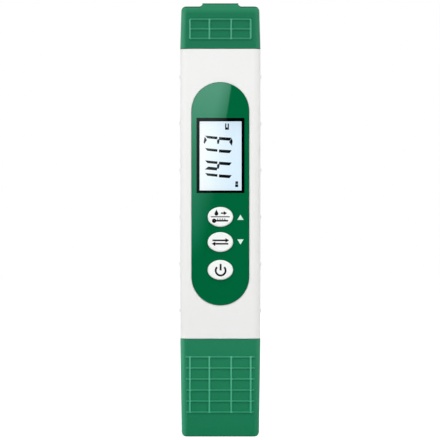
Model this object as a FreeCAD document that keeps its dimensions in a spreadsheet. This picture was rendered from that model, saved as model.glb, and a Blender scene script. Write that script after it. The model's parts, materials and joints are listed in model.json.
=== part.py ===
import FreeCAD, Part
import math
import os
import types

import Sketcher
from FreeCAD import Vector

# A water quality test pen, standing on its protective cap.
# Millimetres, +Z up along the pen, +X to the right, display towards -Y.
# The origin is the centre of the flat foot of the protective cap.

SHEET = "Dims"

DRIVING = {
    # Outer form
    "body_width": 30.6,
    "body_depth": 17.6,
    "edge_round": 2.8,
    "protective_cap_height": 37.3,
    "barrel_height": 110.1,
    "battery_cap_height": 16.2,
    "foot_inset": 0.55,
    "crown_inset": 0.42,
    "foot_round": 1.9,
    "crown_round": 1.8,
    "end_bevel": 0.45,
    "seam_gap": 0.15,
    # Walls and running clearances
    "barrel_wall": 1.6,
    "cap_wall": 1.5,
    "cap_floor": 1.8,
    "crown_wall": 3.4,
    "plug_gap": 0.1,
    "neck_gap": 0.2,
    "seat_gap": 0.1,
    "close_gap": 0.05,
    # Grip ribs of the two caps
    "rib_height": 0.35,
    "rib_foot": 0.9,
    "rib_top": 0.4,
    "rib_end_inset": 1.4,
    "rib_inner_pitch": 8.3,
    "rib_outer_pitch": 23.1,
    "lower_rib_pitch": 4.2,
    "lower_rib_start": 9.3,
    "upper_rib_pitch": 3.65,
    "upper_rib_start": 3.9,
    # Barrel halves
    "tongue_width": 0.7,
    "tongue_height": 1.2,
    "ridge_height": 0.6,
    "ridge_width": 1.2,
    "ridge_length": 18.0,
    "ridge_inset": 5.0,
    "bump_height": 0.32,
    "bump_foot": 1.3,
    "bump_top": 0.7,
    "bump_pitch": 17.86,
    "bump_start": 10.5,
    # Face panel
    "panel_width": 21.8,
    "panel_length": 84.7,
    "panel_start": 12.7,
    "panel_thickness": 0.7,
    "panel_recess": 0.5,
    "panel_gap": 0.1,
    # Display
    "display_width": 17.9,
    "display_length": 28.4,
    "display_rise": 69.6,
    "bezel_side": 0.9,
    "bezel_head": 1.25,
    "bezel_foot": 0.75,
    "bezel_lip": 0.5,
    "bezel_wall": 0.5,
    "window_thickness": 0.7,
    "polariser_thickness": 0.2,
    "polariser_border": 0.4,
    "glass_thickness": 1.1,
    "glass_border": 0.75,
    "glass_ledge": 1.6,
    "backlight_thickness": 2.0,
    "backlight_bevel": 0.3,
    "lamp_width": 3.0,
    "lamp_height": 1.5,
    "lamp_thickness": 0.85,
    "holder_wall": 0.7,
    "holder_floor": 1.2,
    "zebra_width": 1.1,
    # Keys
    "power_key_rise": 26.1,
    "mode_key_rise": 36.7,
    "calibrate_key_rise": 46.25,
    "key_width": 9.6,
    "key_height": 7.5,
    "key_end_radius": 3.15,
    "key_gap": 0.1,
    "key_proud": 0.55,
    "key_edge": 0.3,
    "key_flange": 0.75,
    "key_flange_thickness": 0.8,
    "key_travel": 0.5,
    "switch_side": 6.0,
    "switch_thickness": 3.5,
    "plunger_side": 3.0,
    "plunger_depth": 1.0,
    # Circuit board
    "board_width": 25.0,
    "board_start": 11.2,
    "board_end": 9.3,
    "board_thickness": 1.0,
    "boss_radius": 2.0,
    "boss_side": 9.5,
    "boss_inset": 6.5,
    "screw_radius": 0.8,
    "screw_head_radius": 1.5,
    "screw_head_thickness": 1.0,
    "screw_length": 5.0,
    "chip_side": 7.0,
    "chip_thickness": 1.0,
    "chip_bevel": 0.3,
    "crystal_length": 5.0,
    "crystal_width": 3.2,
    "crystal_thickness": 1.2,
    "capacitor_length": 1.6,
    "capacitor_width": 0.8,
    "capacitor_pitch": 3.0,
    # Battery compartment
    "cell_radius": 5.8,
    "cell_thickness": 5.4,
    "cell_gap": 0.1,
    "cell_web": 1.0,
    "slot_depth": 11.6,
    "slot_floor": 3.4,
    "battery_plug_length": 9.0,
    "battery_neck_length": 6.1,
    "contact_thickness": 0.3,
    "contact_width": 4.0,
    "contact_overlap": 1.5,
    "link_rise": 1.0,
    "seal_depth": 0.6,
    "seal_width": 1.6,
    "seal_side_gap": 0.1,
    "seal_cap_gap": 0.08,
    "upper_seal_rise": 2.2,
    "lower_seal_drop": 4.3,
    # Clip
    "saddle_rise": 1.2,
    "saddle_width": 13.7,
    "saddle_foot": 15.9,
    "saddle_flare": 0.8,
    "saddle_flare_bow": 0.5,
    "clip_width": 10.5,
    "clip_length": 48.0,
    "clip_thickness": 1.6,
    "clip_gap": 2.5,
    "clip_bend": 3.2,
    "clip_root_radius": 1.8,
    "clip_root_inset": 1.0,
    "clip_touch_gap": 0.3,
    "clip_touch_rise": 5.0,
    # Probe
    "probe_neck_length": 10.3,
    "probe_plug_length": 10.7,
    "probe_plug_wall": 2.8,
    "guard_width": 20.0,
    "guard_depth": 11.0,
    "guard_round": 3.5,
    "guard_wall": 1.4,
    "guard_clearance": 6.2,
    "guard_notch_width": 6.0,
    "guard_notch_height": 8.0,
    "rod_radius": 1.5,
    "rod_pitch": 5.5,
    "rod_recess": 4.5,
    "rod_drop": 2.0,
    "potting_thickness": 10.4,
    "sheath_wall": 0.3,
    "lead_radius": 0.3,
    "lead_overlap": 2.0,
}


class Size:
    """A length now, with the sheet formula that keeps it current."""

    def __init__(self, value, formula):
        self.value = value
        self.formula = formula

    @staticmethod
    def of(other):
        return other if isinstance(other, Size) else Size(float(other), str(other))

    def __add__(self, other):
        other = Size.of(other)
        return Size(self.value + other.value, f"({self.formula} + {other.formula})")

    def __sub__(self, other):
        other = Size.of(other)
        return Size(self.value - other.value, f"({self.formula} - {other.formula})")

    def __mul__(self, factor):
        factor = Size.of(factor)
        return Size(self.value * factor.value, f"({self.formula} * {factor.formula})")

    def __truediv__(self, divisor):
        divisor = Size.of(divisor)
        return Size(self.value / divisor.value, f"({self.formula} / {divisor.formula})")

    def __neg__(self):
        return Size(-self.value, f"(-1 * {self.formula})")

    __radd__ = __add__
    __rmul__ = __mul__


ZERO = Size(0.0, "0")

# How far a cut runs past what it cuts
BEYOND = Size(1.0, "1")


def slope_angle(lean):
    """The angle of a side that moves in by lean for each millimetre of height."""
    return Size(math.degrees(math.atan(lean.value)), f"atan({lean.formula})")


def fill_sheet(doc):
    """Write the driving sizes to the sheet and give each by its name."""
    sheet = doc.addObject("Spreadsheet::Sheet", SHEET)
    sizes = types.SimpleNamespace()
    for row, (name, value) in enumerate(DRIVING.items(), start=1):
        sheet.set(f"A{row}", name)
        sheet.set(f"B{row}", str(value))
        sheet.setAlias(f"B{row}", name)
        setattr(sizes, name, Size(value, f"{SHEET}.{name}"))
    doc.recompute()
    return sizes


doc = FreeCAD.newDocument("test_pen")
dim = fill_sheet(doc)
parts = {}

# Levels up the pen
BARREL_FOOT = dim.protective_cap_height
BARREL_TOP = BARREL_FOOT + dim.barrel_height
CROWN = BARREL_TOP + dim.battery_cap_height
SADDLE_TOP = CROWN + dim.saddle_rise
DISPLAY_Z = BARREL_FOOT + dim.display_rise
BOARD_FOOT = BARREL_FOOT + dim.board_start
BOARD_TOP = BARREL_TOP - dim.board_end
KEY_Z = {
    "power": BARREL_FOOT + dim.power_key_rise,
    "mode": BARREL_FOOT + dim.mode_key_rise,
    "calibrate": BARREL_FOOT + dim.calibrate_key_rise,
}

# Levels through the pen, from the display side backwards
FRONT = -dim.body_depth / 2
BACK = dim.body_depth / 2
PANEL_BACK = FRONT + dim.panel_recess
PANEL_FRONT = PANEL_BACK - dim.panel_thickness
INNER_FRONT = FRONT + dim.barrel_wall
INNER_BACK = BACK - dim.barrel_wall
GLASS_FRONT = INNER_FRONT + dim.polariser_thickness
GLASS_MIDDLE = GLASS_FRONT + dim.glass_thickness
GLASS_BACK = GLASS_MIDDLE + dim.glass_thickness
LIGHT_BACK = GLASS_BACK + dim.backlight_thickness
BOARD_FRONT = LIGHT_BACK + dim.holder_floor
BOARD_BACK = BOARD_FRONT + dim.board_thickness
FLANGE_FRONT = INNER_FRONT + dim.seat_gap
FLANGE_BACK = FLANGE_FRONT + dim.key_flange_thickness
SWITCH_FRONT = BOARD_FRONT - dim.switch_thickness

# Sections of the barrel's bore, the plugs in it and the necks in the caps
BORE_WIDTH = dim.body_width - 2 * dim.barrel_wall
BORE_DEPTH = dim.body_depth - 2 * dim.barrel_wall
BORE_ROUND = dim.edge_round - dim.barrel_wall
PLUG_WIDTH = BORE_WIDTH - 2 * dim.plug_gap
PLUG_DEPTH = BORE_DEPTH - 2 * dim.plug_gap
PLUG_ROUND = BORE_ROUND - dim.plug_gap
WELL_WIDTH = dim.body_width - 2 * dim.cap_wall
WELL_DEPTH = dim.body_depth - 2 * dim.cap_wall
WELL_ROUND = dim.edge_round - dim.cap_wall
NECK_WIDTH = WELL_WIDTH - 2 * dim.neck_gap
NECK_DEPTH = WELL_DEPTH - 2 * dim.neck_gap
NECK_ROUND = WELL_ROUND - dim.neck_gap

# Which way a feature runs so that it goes up its plane's axis
PLANES = {"XY": ("XY_Plane", 1, False), "XZ": ("XZ_Plane", -1, True), "YZ": ("YZ_Plane", 1, False)}


# Outlines drawn in a sketch

def bind(sketch, kind, where, size):
    """Constrain a measure of the sketch to a size from the sheet."""
    number = sketch.addConstraint(Sketcher.Constraint(kind, *where, size.value))
    name = f"size{number}"
    sketch.renameConstraint(number, name)
    sketch.setExpression(f"Constraints.{name}", size.formula)


def place_point(sketch, edge, end, point):
    bind(sketch, "DistanceX", (-1, 1, edge, end), point[0])
    bind(sketch, "DistanceY", (-1, 1, edge, end), point[1])


def vector(point):
    return Vector(point[0].value, point[1].value, 0)


def arc_edge(first, last, centre, turn):
    """An arc from first to last round centre, anticlockwise when turn is 1."""
    start, end = (first, last) if turn == 1 else (last, first)
    middle = vector(centre)
    ray_in = vector(start) - middle
    ray_out = vector(end) - middle
    circle = Part.Circle(middle, Vector(0, 0, 1), ray_in.Length)
    return Part.ArcOfCircle(circle, math.atan2(ray_in.y, ray_in.x), math.atan2(ray_out.y, ray_out.x))


def outline(points, arcs=None):
    """A closed outline: arcs[i] gives the centre and turn of the edge after point i."""
    arcs = arcs or {}

    def draw(sketch):
        ends = []
        for i, first in enumerate(points):
            last = points[(i + 1) % len(points)]
            if i in arcs:
                centre, turn = arcs[i]
                edge = sketch.addGeometry(arc_edge(first, last, centre, turn), False)
                ends.append((edge, 1, 2) if turn == 1 else (edge, 2, 1))
            else:
                edge = sketch.addGeometry(Part.LineSegment(vector(first), vector(last)), False)
                ends.append((edge, 1, 2))
        for i, (edge, start, end) in enumerate(ends):
            following, next_start, _ = ends[(i + 1) % len(ends)]
            sketch.addConstraint(Sketcher.Constraint("Coincident", edge, end, following, next_start))
            place_point(sketch, edge, start, points[i])
        for i, (centre, _) in arcs.items():
            chord = vector(points[(i + 1) % len(points)]) - vector(points[i])
            if abs(chord.x) < abs(chord.y):
                bind(sketch, "DistanceX", (-1, 1, ends[i][0], 3), centre[0])
            else:
                bind(sketch, "DistanceY", (-1, 1, ends[i][0], 3), centre[1])

    return draw


def rectangle(low_x, high_x, low_y, high_y):
    return outline([(low_x, low_y), (high_x, low_y), (high_x, high_y), (low_x, high_y)])


def centred_rectangle(width, height, x=ZERO, y=ZERO):
    return rectangle(x - width / 2, x + width / 2, y - height / 2, y + height / 2)


def rounded_rectangle(width, height, corner, x=ZERO, y=ZERO):
    """A rectangle about (x, y) with four equal corner arcs."""
    right = x + width / 2
    left = x - width / 2
    top = y + height / 2
    bottom = y - height / 2
    points = [
        (left + corner, bottom), (right - corner, bottom),
        (right, bottom + corner), (right, top - corner),
        (right - corner, top), (left + corner, top),
        (left, top - corner), (left, bottom + corner),
    ]
    arcs = {
        1: ((right - corner, bottom + corner), 1),
        3: ((right - corner, top - corner), 1),
        5: ((left + corner, top - corner), 1),
        7: ((left + corner, bottom + corner), 1),
    }
    return outline(points, arcs)


def stadium(width, low, high):
    """An upright slot about x = 0 with half-round ends."""
    radius = width / 2
    start = low + radius
    end = high - radius
    points = [(radius, start), (radius, end), (-radius, end), (-radius, start)]
    arcs = {1: ((ZERO, end), 1), 3: ((ZERO, start), 1)}
    return outline(points, arcs)


def circle(radius, x=ZERO, y=ZERO):
    def draw(sketch):
        edge = sketch.addGeometry(Part.Circle(vector((x, y)), Vector(0, 0, 1), radius.value), False)
        bind(sketch, "Radius", (edge,), radius)
        place_point(sketch, edge, 3, (x, y))

    return draw


def oval(width, height, end_radius, x, y):
    """An oval of four tangent arcs: end_radius at the sides, a larger one above and below."""
    half_width = width / 2
    half_height = height / 2
    side = half_width - end_radius
    rise = half_height * half_height - end_radius * end_radius
    large = (side * side + rise) / (2 * (half_height - end_radius))
    reach = large - end_radius
    join_x = side + end_radius * side / reach
    join_y = end_radius * (large - half_height) / reach
    points = [
        (x + join_x, y - join_y), (x + join_x, y + join_y),
        (x - join_x, y + join_y), (x - join_x, y - join_y),
    ]
    drop = large - half_height
    arcs = {0: ((x + side, y), 1), 1: ((x, y - drop), 1), 2: ((x - side, y), 1), 3: ((x, y + drop), 1)}
    return outline(points, arcs)


# Features of a body

def new_body(name):
    body = doc.addObject("PartDesign::Body", name)
    body.Label = name
    return body


def finished(name, thing):
    """Keep the object as a piece of the pen."""
    thing.Label = name
    parts[name] = thing
    return thing


def new_sketch(body, plane, level, outlines):
    role, side, _ = PLANES[plane]
    support = next(item for item in body.Origin.OriginFeatures if item.Role == role)
    sketch = body.newObject("Sketcher::SketchObject", f"{body.Name}_sketch")
    sketch.AttachmentSupport = [(support, "")]
    sketch.MapMode = "FlatFace"
    offset = level if side == 1 else -level
    sketch.AttachmentOffset.Base = Vector(0, 0, offset.value)
    sketch.setExpression("AttachmentOffset.Base.z", offset.formula)
    for draw in outlines:
        draw(sketch)
    return sketch


def extrude(kind, body, plane, low, high, outlines):
    sketch = new_sketch(body, plane, low, outlines)
    feature = body.newObject(f"PartDesign::{kind}", f"{body.Name}_{kind.lower()}")
    feature.Profile = sketch
    feature.setExpression("Length", (high - low).formula)
    feature.Reversed = PLANES[plane][2] if kind == "Pad" else not PLANES[plane][2]
    sketch.Visibility = False
    return feature


def pad(body, plane, low, high, *outlines):
    """Add what is inside the outlines from the low level to the high one."""
    return extrude("Pad", body, plane, low, high, outlines)


def pocket(body, plane, low, high, *outlines):
    """Cut what is inside the outlines from the low level to the high one, and check that it cut."""
    before = body.Tip
    feature = extrude("Pocket", body, plane, low, high, outlines)
    doc.recompute()
    if feature.Shape.isNull() or feature.Shape.Volume >= before.Shape.Volume:
        raise RuntimeError(f"{feature.Name} cuts nothing")
    return feature


def soften(body, kind, size, wanted):
    """Fillet or chamfer the edges that the test picks by their middle point and box."""
    doc.recompute()
    base = body.Tip
    edges = base.Shape.Edges
    chosen = [i for i, edge in enumerate(edges, start=1) if wanted(edge.CenterOfMass, edge.BoundBox)]
    names = [f"Edge{i}" for i in chosen]
    if not names:
        raise RuntimeError(f"{body.Name} has no such edge")
    feature = body.newObject(f"PartDesign::{kind}", f"{body.Name}_{kind.lower()}")
    feature.Base = (base, names)
    feature.setExpression("Radius" if kind == "Fillet" else "Size", size.formula)
    doc.recompute()
    return feature


def near(value, size):
    return abs(value - size.value) < 0.01


def repeat(body, feature, role, pitch, count):
    """Repeat the feature in a row along one of the body's axes."""
    pattern = body.newObject("PartDesign::LinearPattern", f"{body.Name}_row")
    axis = next(item for item in body.Origin.OriginFeatures if item.Role == role)
    pattern.Originals = [feature]
    pattern.Direction = (axis, [""])
    pattern.setExpression("Length", (pitch * (count - 1)).formula)
    pattern.Occurrences = count
    body.Tip = pattern
    return pattern


def mirror(body, features, role):
    """Repeat the features on the other side of an origin plane."""
    copy = body.newObject("PartDesign::Mirrored", f"{body.Name}_mirror")
    plane = next(item for item in body.Origin.OriginFeatures if item.Role == role)
    copy.Originals = features
    copy.MirrorPlane = (plane, [""])
    body.Tip = copy
    return copy


def ring_groove(body, low, high, width, depth, corner, cut):
    """Cut a groove round a neck of the given section."""
    pocket(
        body, "XY", low, high,
        centred_rectangle(width + 2 * BEYOND, depth + 2 * BEYOND),
        rounded_rectangle(width - 2 * cut, depth - 2 * cut, corner),
    )


def joined(kind, name, things):
    """A boolean of whole pieces."""
    result = doc.addObject(f"Part::{kind}", name)
    if kind == "Cut":
        result.Base, result.Tool = things
    else:
        result.Shapes = things
    result.Refine = True
    return result


# The two barrel halves

RIDGE_STATIONS = (BARREL_FOOT + dim.ridge_inset, BARREL_TOP - dim.ridge_inset - dim.ridge_width)
BUMP_COUNT = 6
BOSS_Z = [BOARD_FOOT + dim.boss_inset, BOARD_TOP - dim.boss_inset]

# A rectangle all round the barrel as seen from the front
BARREL_VIEW = rectangle(-dim.body_width, dim.body_width, BARREL_FOOT - BEYOND, BARREL_TOP + BEYOND)


def barrel_tube(name):
    """The whole tube with its side bumps and bore, before it is split."""
    body = new_body(name)
    section = rounded_rectangle(dim.body_width, dim.body_depth, dim.edge_round)
    pad(body, "XY", BARREL_FOOT, BARREL_TOP, section)
    flat = BACK - dim.edge_round
    z = BARREL_FOOT + dim.bump_start
    foot = dim.bump_foot / 2
    top = dim.bump_top / 2
    side = dim.body_width / 2
    proud = side + dim.bump_height
    points = [
        (-proud, z - top), (-side, z - foot), (side, z - foot), (proud, z - top),
        (proud, z + top), (side, z + foot), (-side, z + foot), (-proud, z + top),
    ]
    bump = pad(body, "XZ", -flat, flat, outline(points))
    repeat(body, bump, "Z_Axis", dim.bump_pitch, BUMP_COUNT)
    pocket(body, "XY", BARREL_FOOT, BARREL_TOP, rounded_rectangle(BORE_WIDTH, BORE_DEPTH, BORE_ROUND))
    return body


def ridge_sections(grow):
    """Straight snap ridges near both ends of the bore, seen from the front."""
    half = dim.ridge_length / 2 + grow
    return [rectangle(-half, half, z - grow, z + dim.ridge_width + grow) for z in RIDGE_STATIONS]


def screw_places():
    """One screw at the lower left of the board and one at its upper right."""
    return list(zip((-dim.boss_side, dim.boss_side), BOSS_Z))


def front_shell():
    """The display side of the barrel, with a tongue along each split edge."""
    body = barrel_tube("front_shell")
    pocket(body, "XZ", ZERO, BACK + BEYOND, BARREL_VIEW)
    inner = BORE_WIDTH / 2
    tongue_low = RIDGE_STATIONS[0] + dim.ridge_width
    tongue_high = RIDGE_STATIONS[1]
    pad(
        body, "XZ", -dim.tongue_height, dim.tongue_height,
        rectangle(inner, inner + dim.tongue_width, tongue_low, tongue_high),
        rectangle(-inner - dim.tongue_width, -inner, tongue_low, tongue_high),
    )
    pad(body, "XZ", INNER_FRONT - dim.seat_gap, INNER_FRONT + dim.ridge_height, *ridge_sections(ZERO))
    gap = dim.panel_gap
    start = BARREL_FOOT + dim.panel_start
    recess = stadium(dim.panel_width + 2 * gap, start - gap, start + dim.panel_length + gap)
    pocket(body, "XZ", FRONT - BEYOND, PANEL_BACK, recess)
    openings = [
        centred_rectangle(dim.display_width + 2 * gap, dim.display_length + 2 * gap, ZERO, DISPLAY_Z)
    ]
    openings += [key_outline(z, dim.key_gap) for z in KEY_Z.values()]
    pocket(body, "XZ", FRONT, INNER_FRONT, *openings)
    return finished("front_shell", body)


def rear_shell():
    """The back of the barrel, with a rebate for the tongues and two bosses for the board."""
    body = barrel_tube("rear_shell")
    pocket(body, "XZ", FRONT - BEYOND, ZERO, BARREL_VIEW)
    inner = BORE_WIDTH / 2
    outer = inner + dim.tongue_width + dim.plug_gap
    low = RIDGE_STATIONS[0] + dim.ridge_width
    high = RIDGE_STATIONS[1]
    pocket(
        body, "XZ", ZERO, dim.tongue_height + dim.plug_gap,
        rectangle(inner - dim.seat_gap, outer, low, high),
        rectangle(-outer, dim.seat_gap - inner, low, high),
    )
    pad(body, "XZ", INNER_BACK - dim.ridge_height, INNER_BACK + dim.seat_gap, *ridge_sections(ZERO))
    bosses = [circle(dim.boss_radius, x, z) for x, z in screw_places()]
    pad(body, "XZ", BOARD_BACK, INNER_BACK + dim.seat_gap, *bosses)
    holes = [circle(dim.screw_radius + dim.close_gap, x, z) for x, z in screw_places()]
    pocket(body, "XZ", BOARD_BACK, BOARD_BACK + dim.screw_length, *holes)
    return finished("rear_shell", body)


# Face panel, display and keys

def key_outline(z, grow):
    """The oval of a key, grown outwards by a gap or a flange."""
    return oval(dim.key_width + 2 * grow, dim.key_height + 2 * grow, dim.key_end_radius + grow, ZERO, z)


def face_panel():
    """The glossy stadium panel that frames the display and the keys."""
    body = new_body("face_panel")
    start = BARREL_FOOT + dim.panel_start
    pad(body, "XZ", PANEL_FRONT, PANEL_BACK, stadium(dim.panel_width, start, start + dim.panel_length))
    frame = centred_rectangle(
        dim.display_width + 2 * dim.close_gap, dim.display_length + 2 * dim.close_gap, ZERO, DISPLAY_Z
    )
    keys = [key_outline(z, dim.key_gap) for z in KEY_Z.values()]
    pocket(body, "XZ", PANEL_FRONT, PANEL_BACK, frame, *keys)
    return finished("face_panel", body)


def display_bezel():
    """The black frame round the display, rebated behind for its window."""
    body = new_body("display_bezel")
    front = PANEL_FRONT + dim.close_gap
    outside = centred_rectangle(dim.display_width, dim.display_length, ZERO, DISPLAY_Z)
    pad(body, "XZ", front, INNER_FRONT, outside)
    half = dim.display_width / 2 - dim.bezel_side
    low = DISPLAY_Z - dim.display_length / 2 + dim.bezel_foot
    high = DISPLAY_Z + dim.display_length / 2 - dim.bezel_head
    pocket(body, "XZ", front, front + dim.bezel_lip, rectangle(-half, half, low, high))
    wall = dim.bezel_wall
    rebate = centred_rectangle(dim.display_width - 2 * wall, dim.display_length - 2 * wall, ZERO, DISPLAY_Z)
    pocket(body, "XZ", front + dim.bezel_lip, INNER_FRONT, rebate)
    return finished("display_bezel", body)


def display_window():
    """The clear window, lying against the back of the frame's rim."""
    body = new_body("display_window")
    inset = dim.bezel_wall + dim.close_gap
    front = PANEL_FRONT + dim.close_gap + dim.bezel_lip
    width = dim.display_width - 2 * inset
    length = dim.display_length - 2 * inset
    pad(body, "XZ", front, front + dim.window_thickness, centred_rectangle(width, length, ZERO, DISPLAY_Z))
    return finished("display_window", body)


GLASS_WIDTH = dim.display_width + 2 * dim.glass_border
GLASS_HIGH = DISPLAY_Z + dim.display_length / 2 + dim.glass_border
GLASS_LOW = DISPLAY_Z - dim.display_length / 2 - dim.glass_border
LEDGE_LOW = GLASS_LOW - dim.glass_ledge


def display_stack():
    """Polariser, two bonded glasses with a contact ledge, and the light guide behind them."""
    border = dim.polariser_border
    half = GLASS_WIDTH / 2

    film = new_body("display_polariser")
    sheet = rectangle(border - half, half - border, GLASS_LOW, GLASS_HIGH - border)
    pad(film, "XZ", INNER_FRONT, GLASS_FRONT, sheet)
    finished("display_polariser", film)

    glass = new_body("display_glass")
    pad(glass, "XZ", GLASS_FRONT, GLASS_MIDDLE, rectangle(-half, half, LEDGE_LOW, GLASS_HIGH))
    pad(glass, "XZ", GLASS_MIDDLE, GLASS_BACK, rectangle(-half, half, GLASS_LOW, GLASS_HIGH))
    finished("display_glass", glass)

    guide = new_body("backlight_panel")
    pad(guide, "XZ", GLASS_BACK, LIGHT_BACK, rectangle(-half, half, GLASS_LOW, GLASS_HIGH))
    soften(guide, "Chamfer", dim.backlight_bevel, lambda middle, box: near(box.YMin, LIGHT_BACK))
    finished("backlight_panel", guide)


def display_holder():
    """The tray that carries the glass and the light guide on the board."""
    body = new_body("display_holder")
    gap = dim.seat_gap
    wall = dim.holder_wall
    half = GLASS_WIDTH / 2 + gap
    low = LEDGE_LOW - gap
    high = GLASS_HIGH + gap
    outside = rectangle(-half - wall, half + wall, low - wall, high + wall)
    pad(body, "XZ", GLASS_FRONT + gap, BOARD_FRONT, outside)
    pocket(body, "XZ", GLASS_FRONT + gap, LIGHT_BACK, rectangle(-half, half, low, high))
    zebra_top = LEDGE_LOW + dim.zebra_width + 2 * gap
    pocket(body, "XZ", LIGHT_BACK, BOARD_FRONT, rectangle(-half, half, low, zebra_top))
    lamp = dim.lamp_width
    pocket(body, "XZ", LIGHT_BACK, BOARD_FRONT, rectangle(-lamp, lamp, high - lamp, high - wall))
    return finished("display_holder", body)


def zebra_strip():
    """The elastomer strip between the glass ledge and the board."""
    body = new_body("zebra_strip")
    half = dim.display_width / 2
    low = LEDGE_LOW + dim.seat_gap
    pad(body, "XZ", GLASS_MIDDLE, BOARD_FRONT, rectangle(-half, half, low, low + dim.zebra_width))
    return finished("zebra_strip", body)


def backlight_led():
    """A side-lit lamp on the board behind the top edge of the light guide."""
    body = new_body("backlight_led")
    high = GLASS_HIGH - dim.holder_wall
    half = dim.lamp_width / 2
    lamp = rectangle(-half, half, high - dim.lamp_height, high)
    pad(body, "XZ", BOARD_FRONT - dim.lamp_thickness, BOARD_FRONT, lamp)
    return finished("backlight_led", body)


def key(name, z):
    """An oval key with a bevelled front, through the panel, and a flange behind the wall."""
    body = new_body(f"{name}_button")
    front = PANEL_FRONT - dim.key_proud
    pad(body, "XZ", front, FLANGE_BACK, key_outline(z, ZERO))
    soften(body, "Chamfer", dim.key_edge, lambda middle, box: near(box.YMax, front))
    grow = 2 * dim.key_flange
    flange = centred_rectangle(dim.key_width + grow, dim.key_height + grow, ZERO, z)
    pad(body, "XZ", FLANGE_FRONT, FLANGE_BACK, flange)
    return finished(f"{name}_button", body)


def tact_switch(name, z):
    """The switch under a key, with its bore, and the plunger that the key pushes."""
    body = new_body(f"{name}_switch")
    side = dim.switch_side
    pad(body, "XZ", SWITCH_FRONT, BOARD_FRONT, centred_rectangle(side, side, ZERO, z))
    bore = dim.plunger_side + 2 * dim.seat_gap
    room = dim.plunger_depth + dim.key_travel + dim.seat_gap
    pocket(body, "XZ", SWITCH_FRONT, SWITCH_FRONT + room, centred_rectangle(bore, bore, ZERO, z))
    finished(f"{name}_switch", body)

    plunger = new_body(f"{name}_plunger")
    post = centred_rectangle(dim.plunger_side, dim.plunger_side, ZERO, z)
    pad(plunger, "XZ", FLANGE_BACK, SWITCH_FRONT + dim.plunger_depth, post)
    return finished(f"{name}_plunger", plunger)


# Circuit board and what it carries

def circuit_board():
    body = new_body("circuit_board")
    half = dim.board_width / 2
    pad(body, "XZ", BOARD_FRONT, BOARD_BACK, rectangle(-half, half, BOARD_FOOT, BOARD_TOP))
    holes = [circle(dim.screw_radius + dim.seat_gap, x, z) for x, z in screw_places()]
    pocket(body, "XZ", BOARD_FRONT, BOARD_BACK, *holes)
    return finished("circuit_board", body)


def board_screws():
    """Two pan-head screws through the board into the bosses."""
    body = new_body("board_screws")
    head = dim.screw_head_thickness
    heads = [circle(dim.screw_head_radius, x, z) for x, z in screw_places()]
    pad(body, "XZ", BOARD_FRONT - head, BOARD_FRONT, *heads)
    shanks = [circle(dim.screw_radius, x, z) for x, z in screw_places()]
    pad(body, "XZ", BOARD_FRONT, BOARD_FRONT + dim.screw_length, *shanks)
    return finished("board_screws", body)


CAPACITOR_COUNT = 4


def board_components():
    """The controller, its crystal and a row of chip capacitors on the back of the board."""
    chip = new_body("microcontroller")
    chip_back = BOARD_BACK + dim.chip_thickness
    pad(chip, "XZ", BOARD_BACK, chip_back, centred_rectangle(dim.chip_side, dim.chip_side, ZERO, DISPLAY_Z))
    soften(chip, "Chamfer", dim.chip_bevel, lambda middle, box: near(box.YMin, chip_back))
    finished("microcontroller", chip)

    below = DISPLAY_Z - dim.chip_side - dim.crystal_width
    crystal = new_body("crystal")
    can = centred_rectangle(dim.crystal_length, dim.crystal_width, ZERO, below)
    pad(crystal, "XZ", BOARD_BACK, BOARD_BACK + dim.crystal_thickness, can)
    finished("crystal", crystal)

    chips = new_body("chip_capacitors")
    row_z = below - dim.crystal_width
    first = centred_rectangle(dim.capacitor_length, dim.capacitor_width, dim.chip_side, row_z)
    block = pad(chips, "XZ", BOARD_BACK, BOARD_BACK + dim.capacitor_width, first)
    repeat(chips, block, "Z_Axis", dim.capacitor_pitch, CAPACITOR_COUNT)
    finished("chip_capacitors", chips)


# Battery compartment

SLOT_X = dim.cell_radius + dim.cell_gap + dim.cell_web / 2
SLOT_RADIUS = dim.cell_radius + dim.cell_gap
CELL_Z = BARREL_TOP - dim.slot_floor + SLOT_RADIUS
CELL_FLOOR = BARREL_TOP - dim.slot_floor
HOLDER_FOOT = BARREL_TOP - dim.battery_plug_length
NECK_TOP = BARREL_TOP + dim.battery_neck_length
CONTACT_FOOT = BOARD_TOP - dim.contact_overlap


def slot_outline(x):
    """A U open at the top, round where the cells rest."""
    top = NECK_TOP + BEYOND
    left = x - SLOT_RADIUS
    right = x + SLOT_RADIUS
    points = [(left, CELL_Z), (right, CELL_Z), (right, top), (left, top)]
    return outline(points, {0: ((x, CELL_Z), 1)})


def ridge_slots(body, station):
    """Cut the two slots of a plug that snap over the ridges of the barrel halves."""
    slot = ridge_sections(dim.seat_gap)[station]
    reach = BORE_DEPTH / 2
    depth = dim.ridge_height + dim.seat_gap
    pocket(body, "XZ", -reach, depth - reach, slot)
    pocket(body, "XZ", reach - depth, reach, slot)


def battery_holder():
    """The plug and neck that hold two stacks of button cells."""
    body = new_body("battery_holder")
    pad(body, "XY", HOLDER_FOOT, BARREL_TOP, rounded_rectangle(PLUG_WIDTH, PLUG_DEPTH, PLUG_ROUND))
    pad(body, "XY", BARREL_TOP, NECK_TOP, rounded_rectangle(NECK_WIDTH, NECK_DEPTH, NECK_ROUND))
    gap = dim.seat_gap
    ridge_slots(body, 1)
    seal = BARREL_TOP + dim.upper_seal_rise
    ring_groove(body, seal, seal + dim.seal_width, NECK_WIDTH, NECK_DEPTH, NECK_ROUND, dim.seal_depth)
    half = dim.slot_depth / 2
    for side in (-SLOT_X, SLOT_X):
        pocket(body, "XZ", -half, half, slot_outline(side))
    reach = SLOT_X + dim.contact_width
    link_slot = rectangle(-reach, reach, half - dim.contact_thickness - gap, half)
    pocket(body, "XY", CELL_FLOOR + dim.link_rise, NECK_TOP + BEYOND, link_slot)
    slits = [contact_section(side, gap) for side in (-SLOT_X, SLOT_X)]
    pocket(body, "XY", HOLDER_FOOT - BEYOND, CELL_Z, *slits)
    return finished("battery_holder", body)


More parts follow.
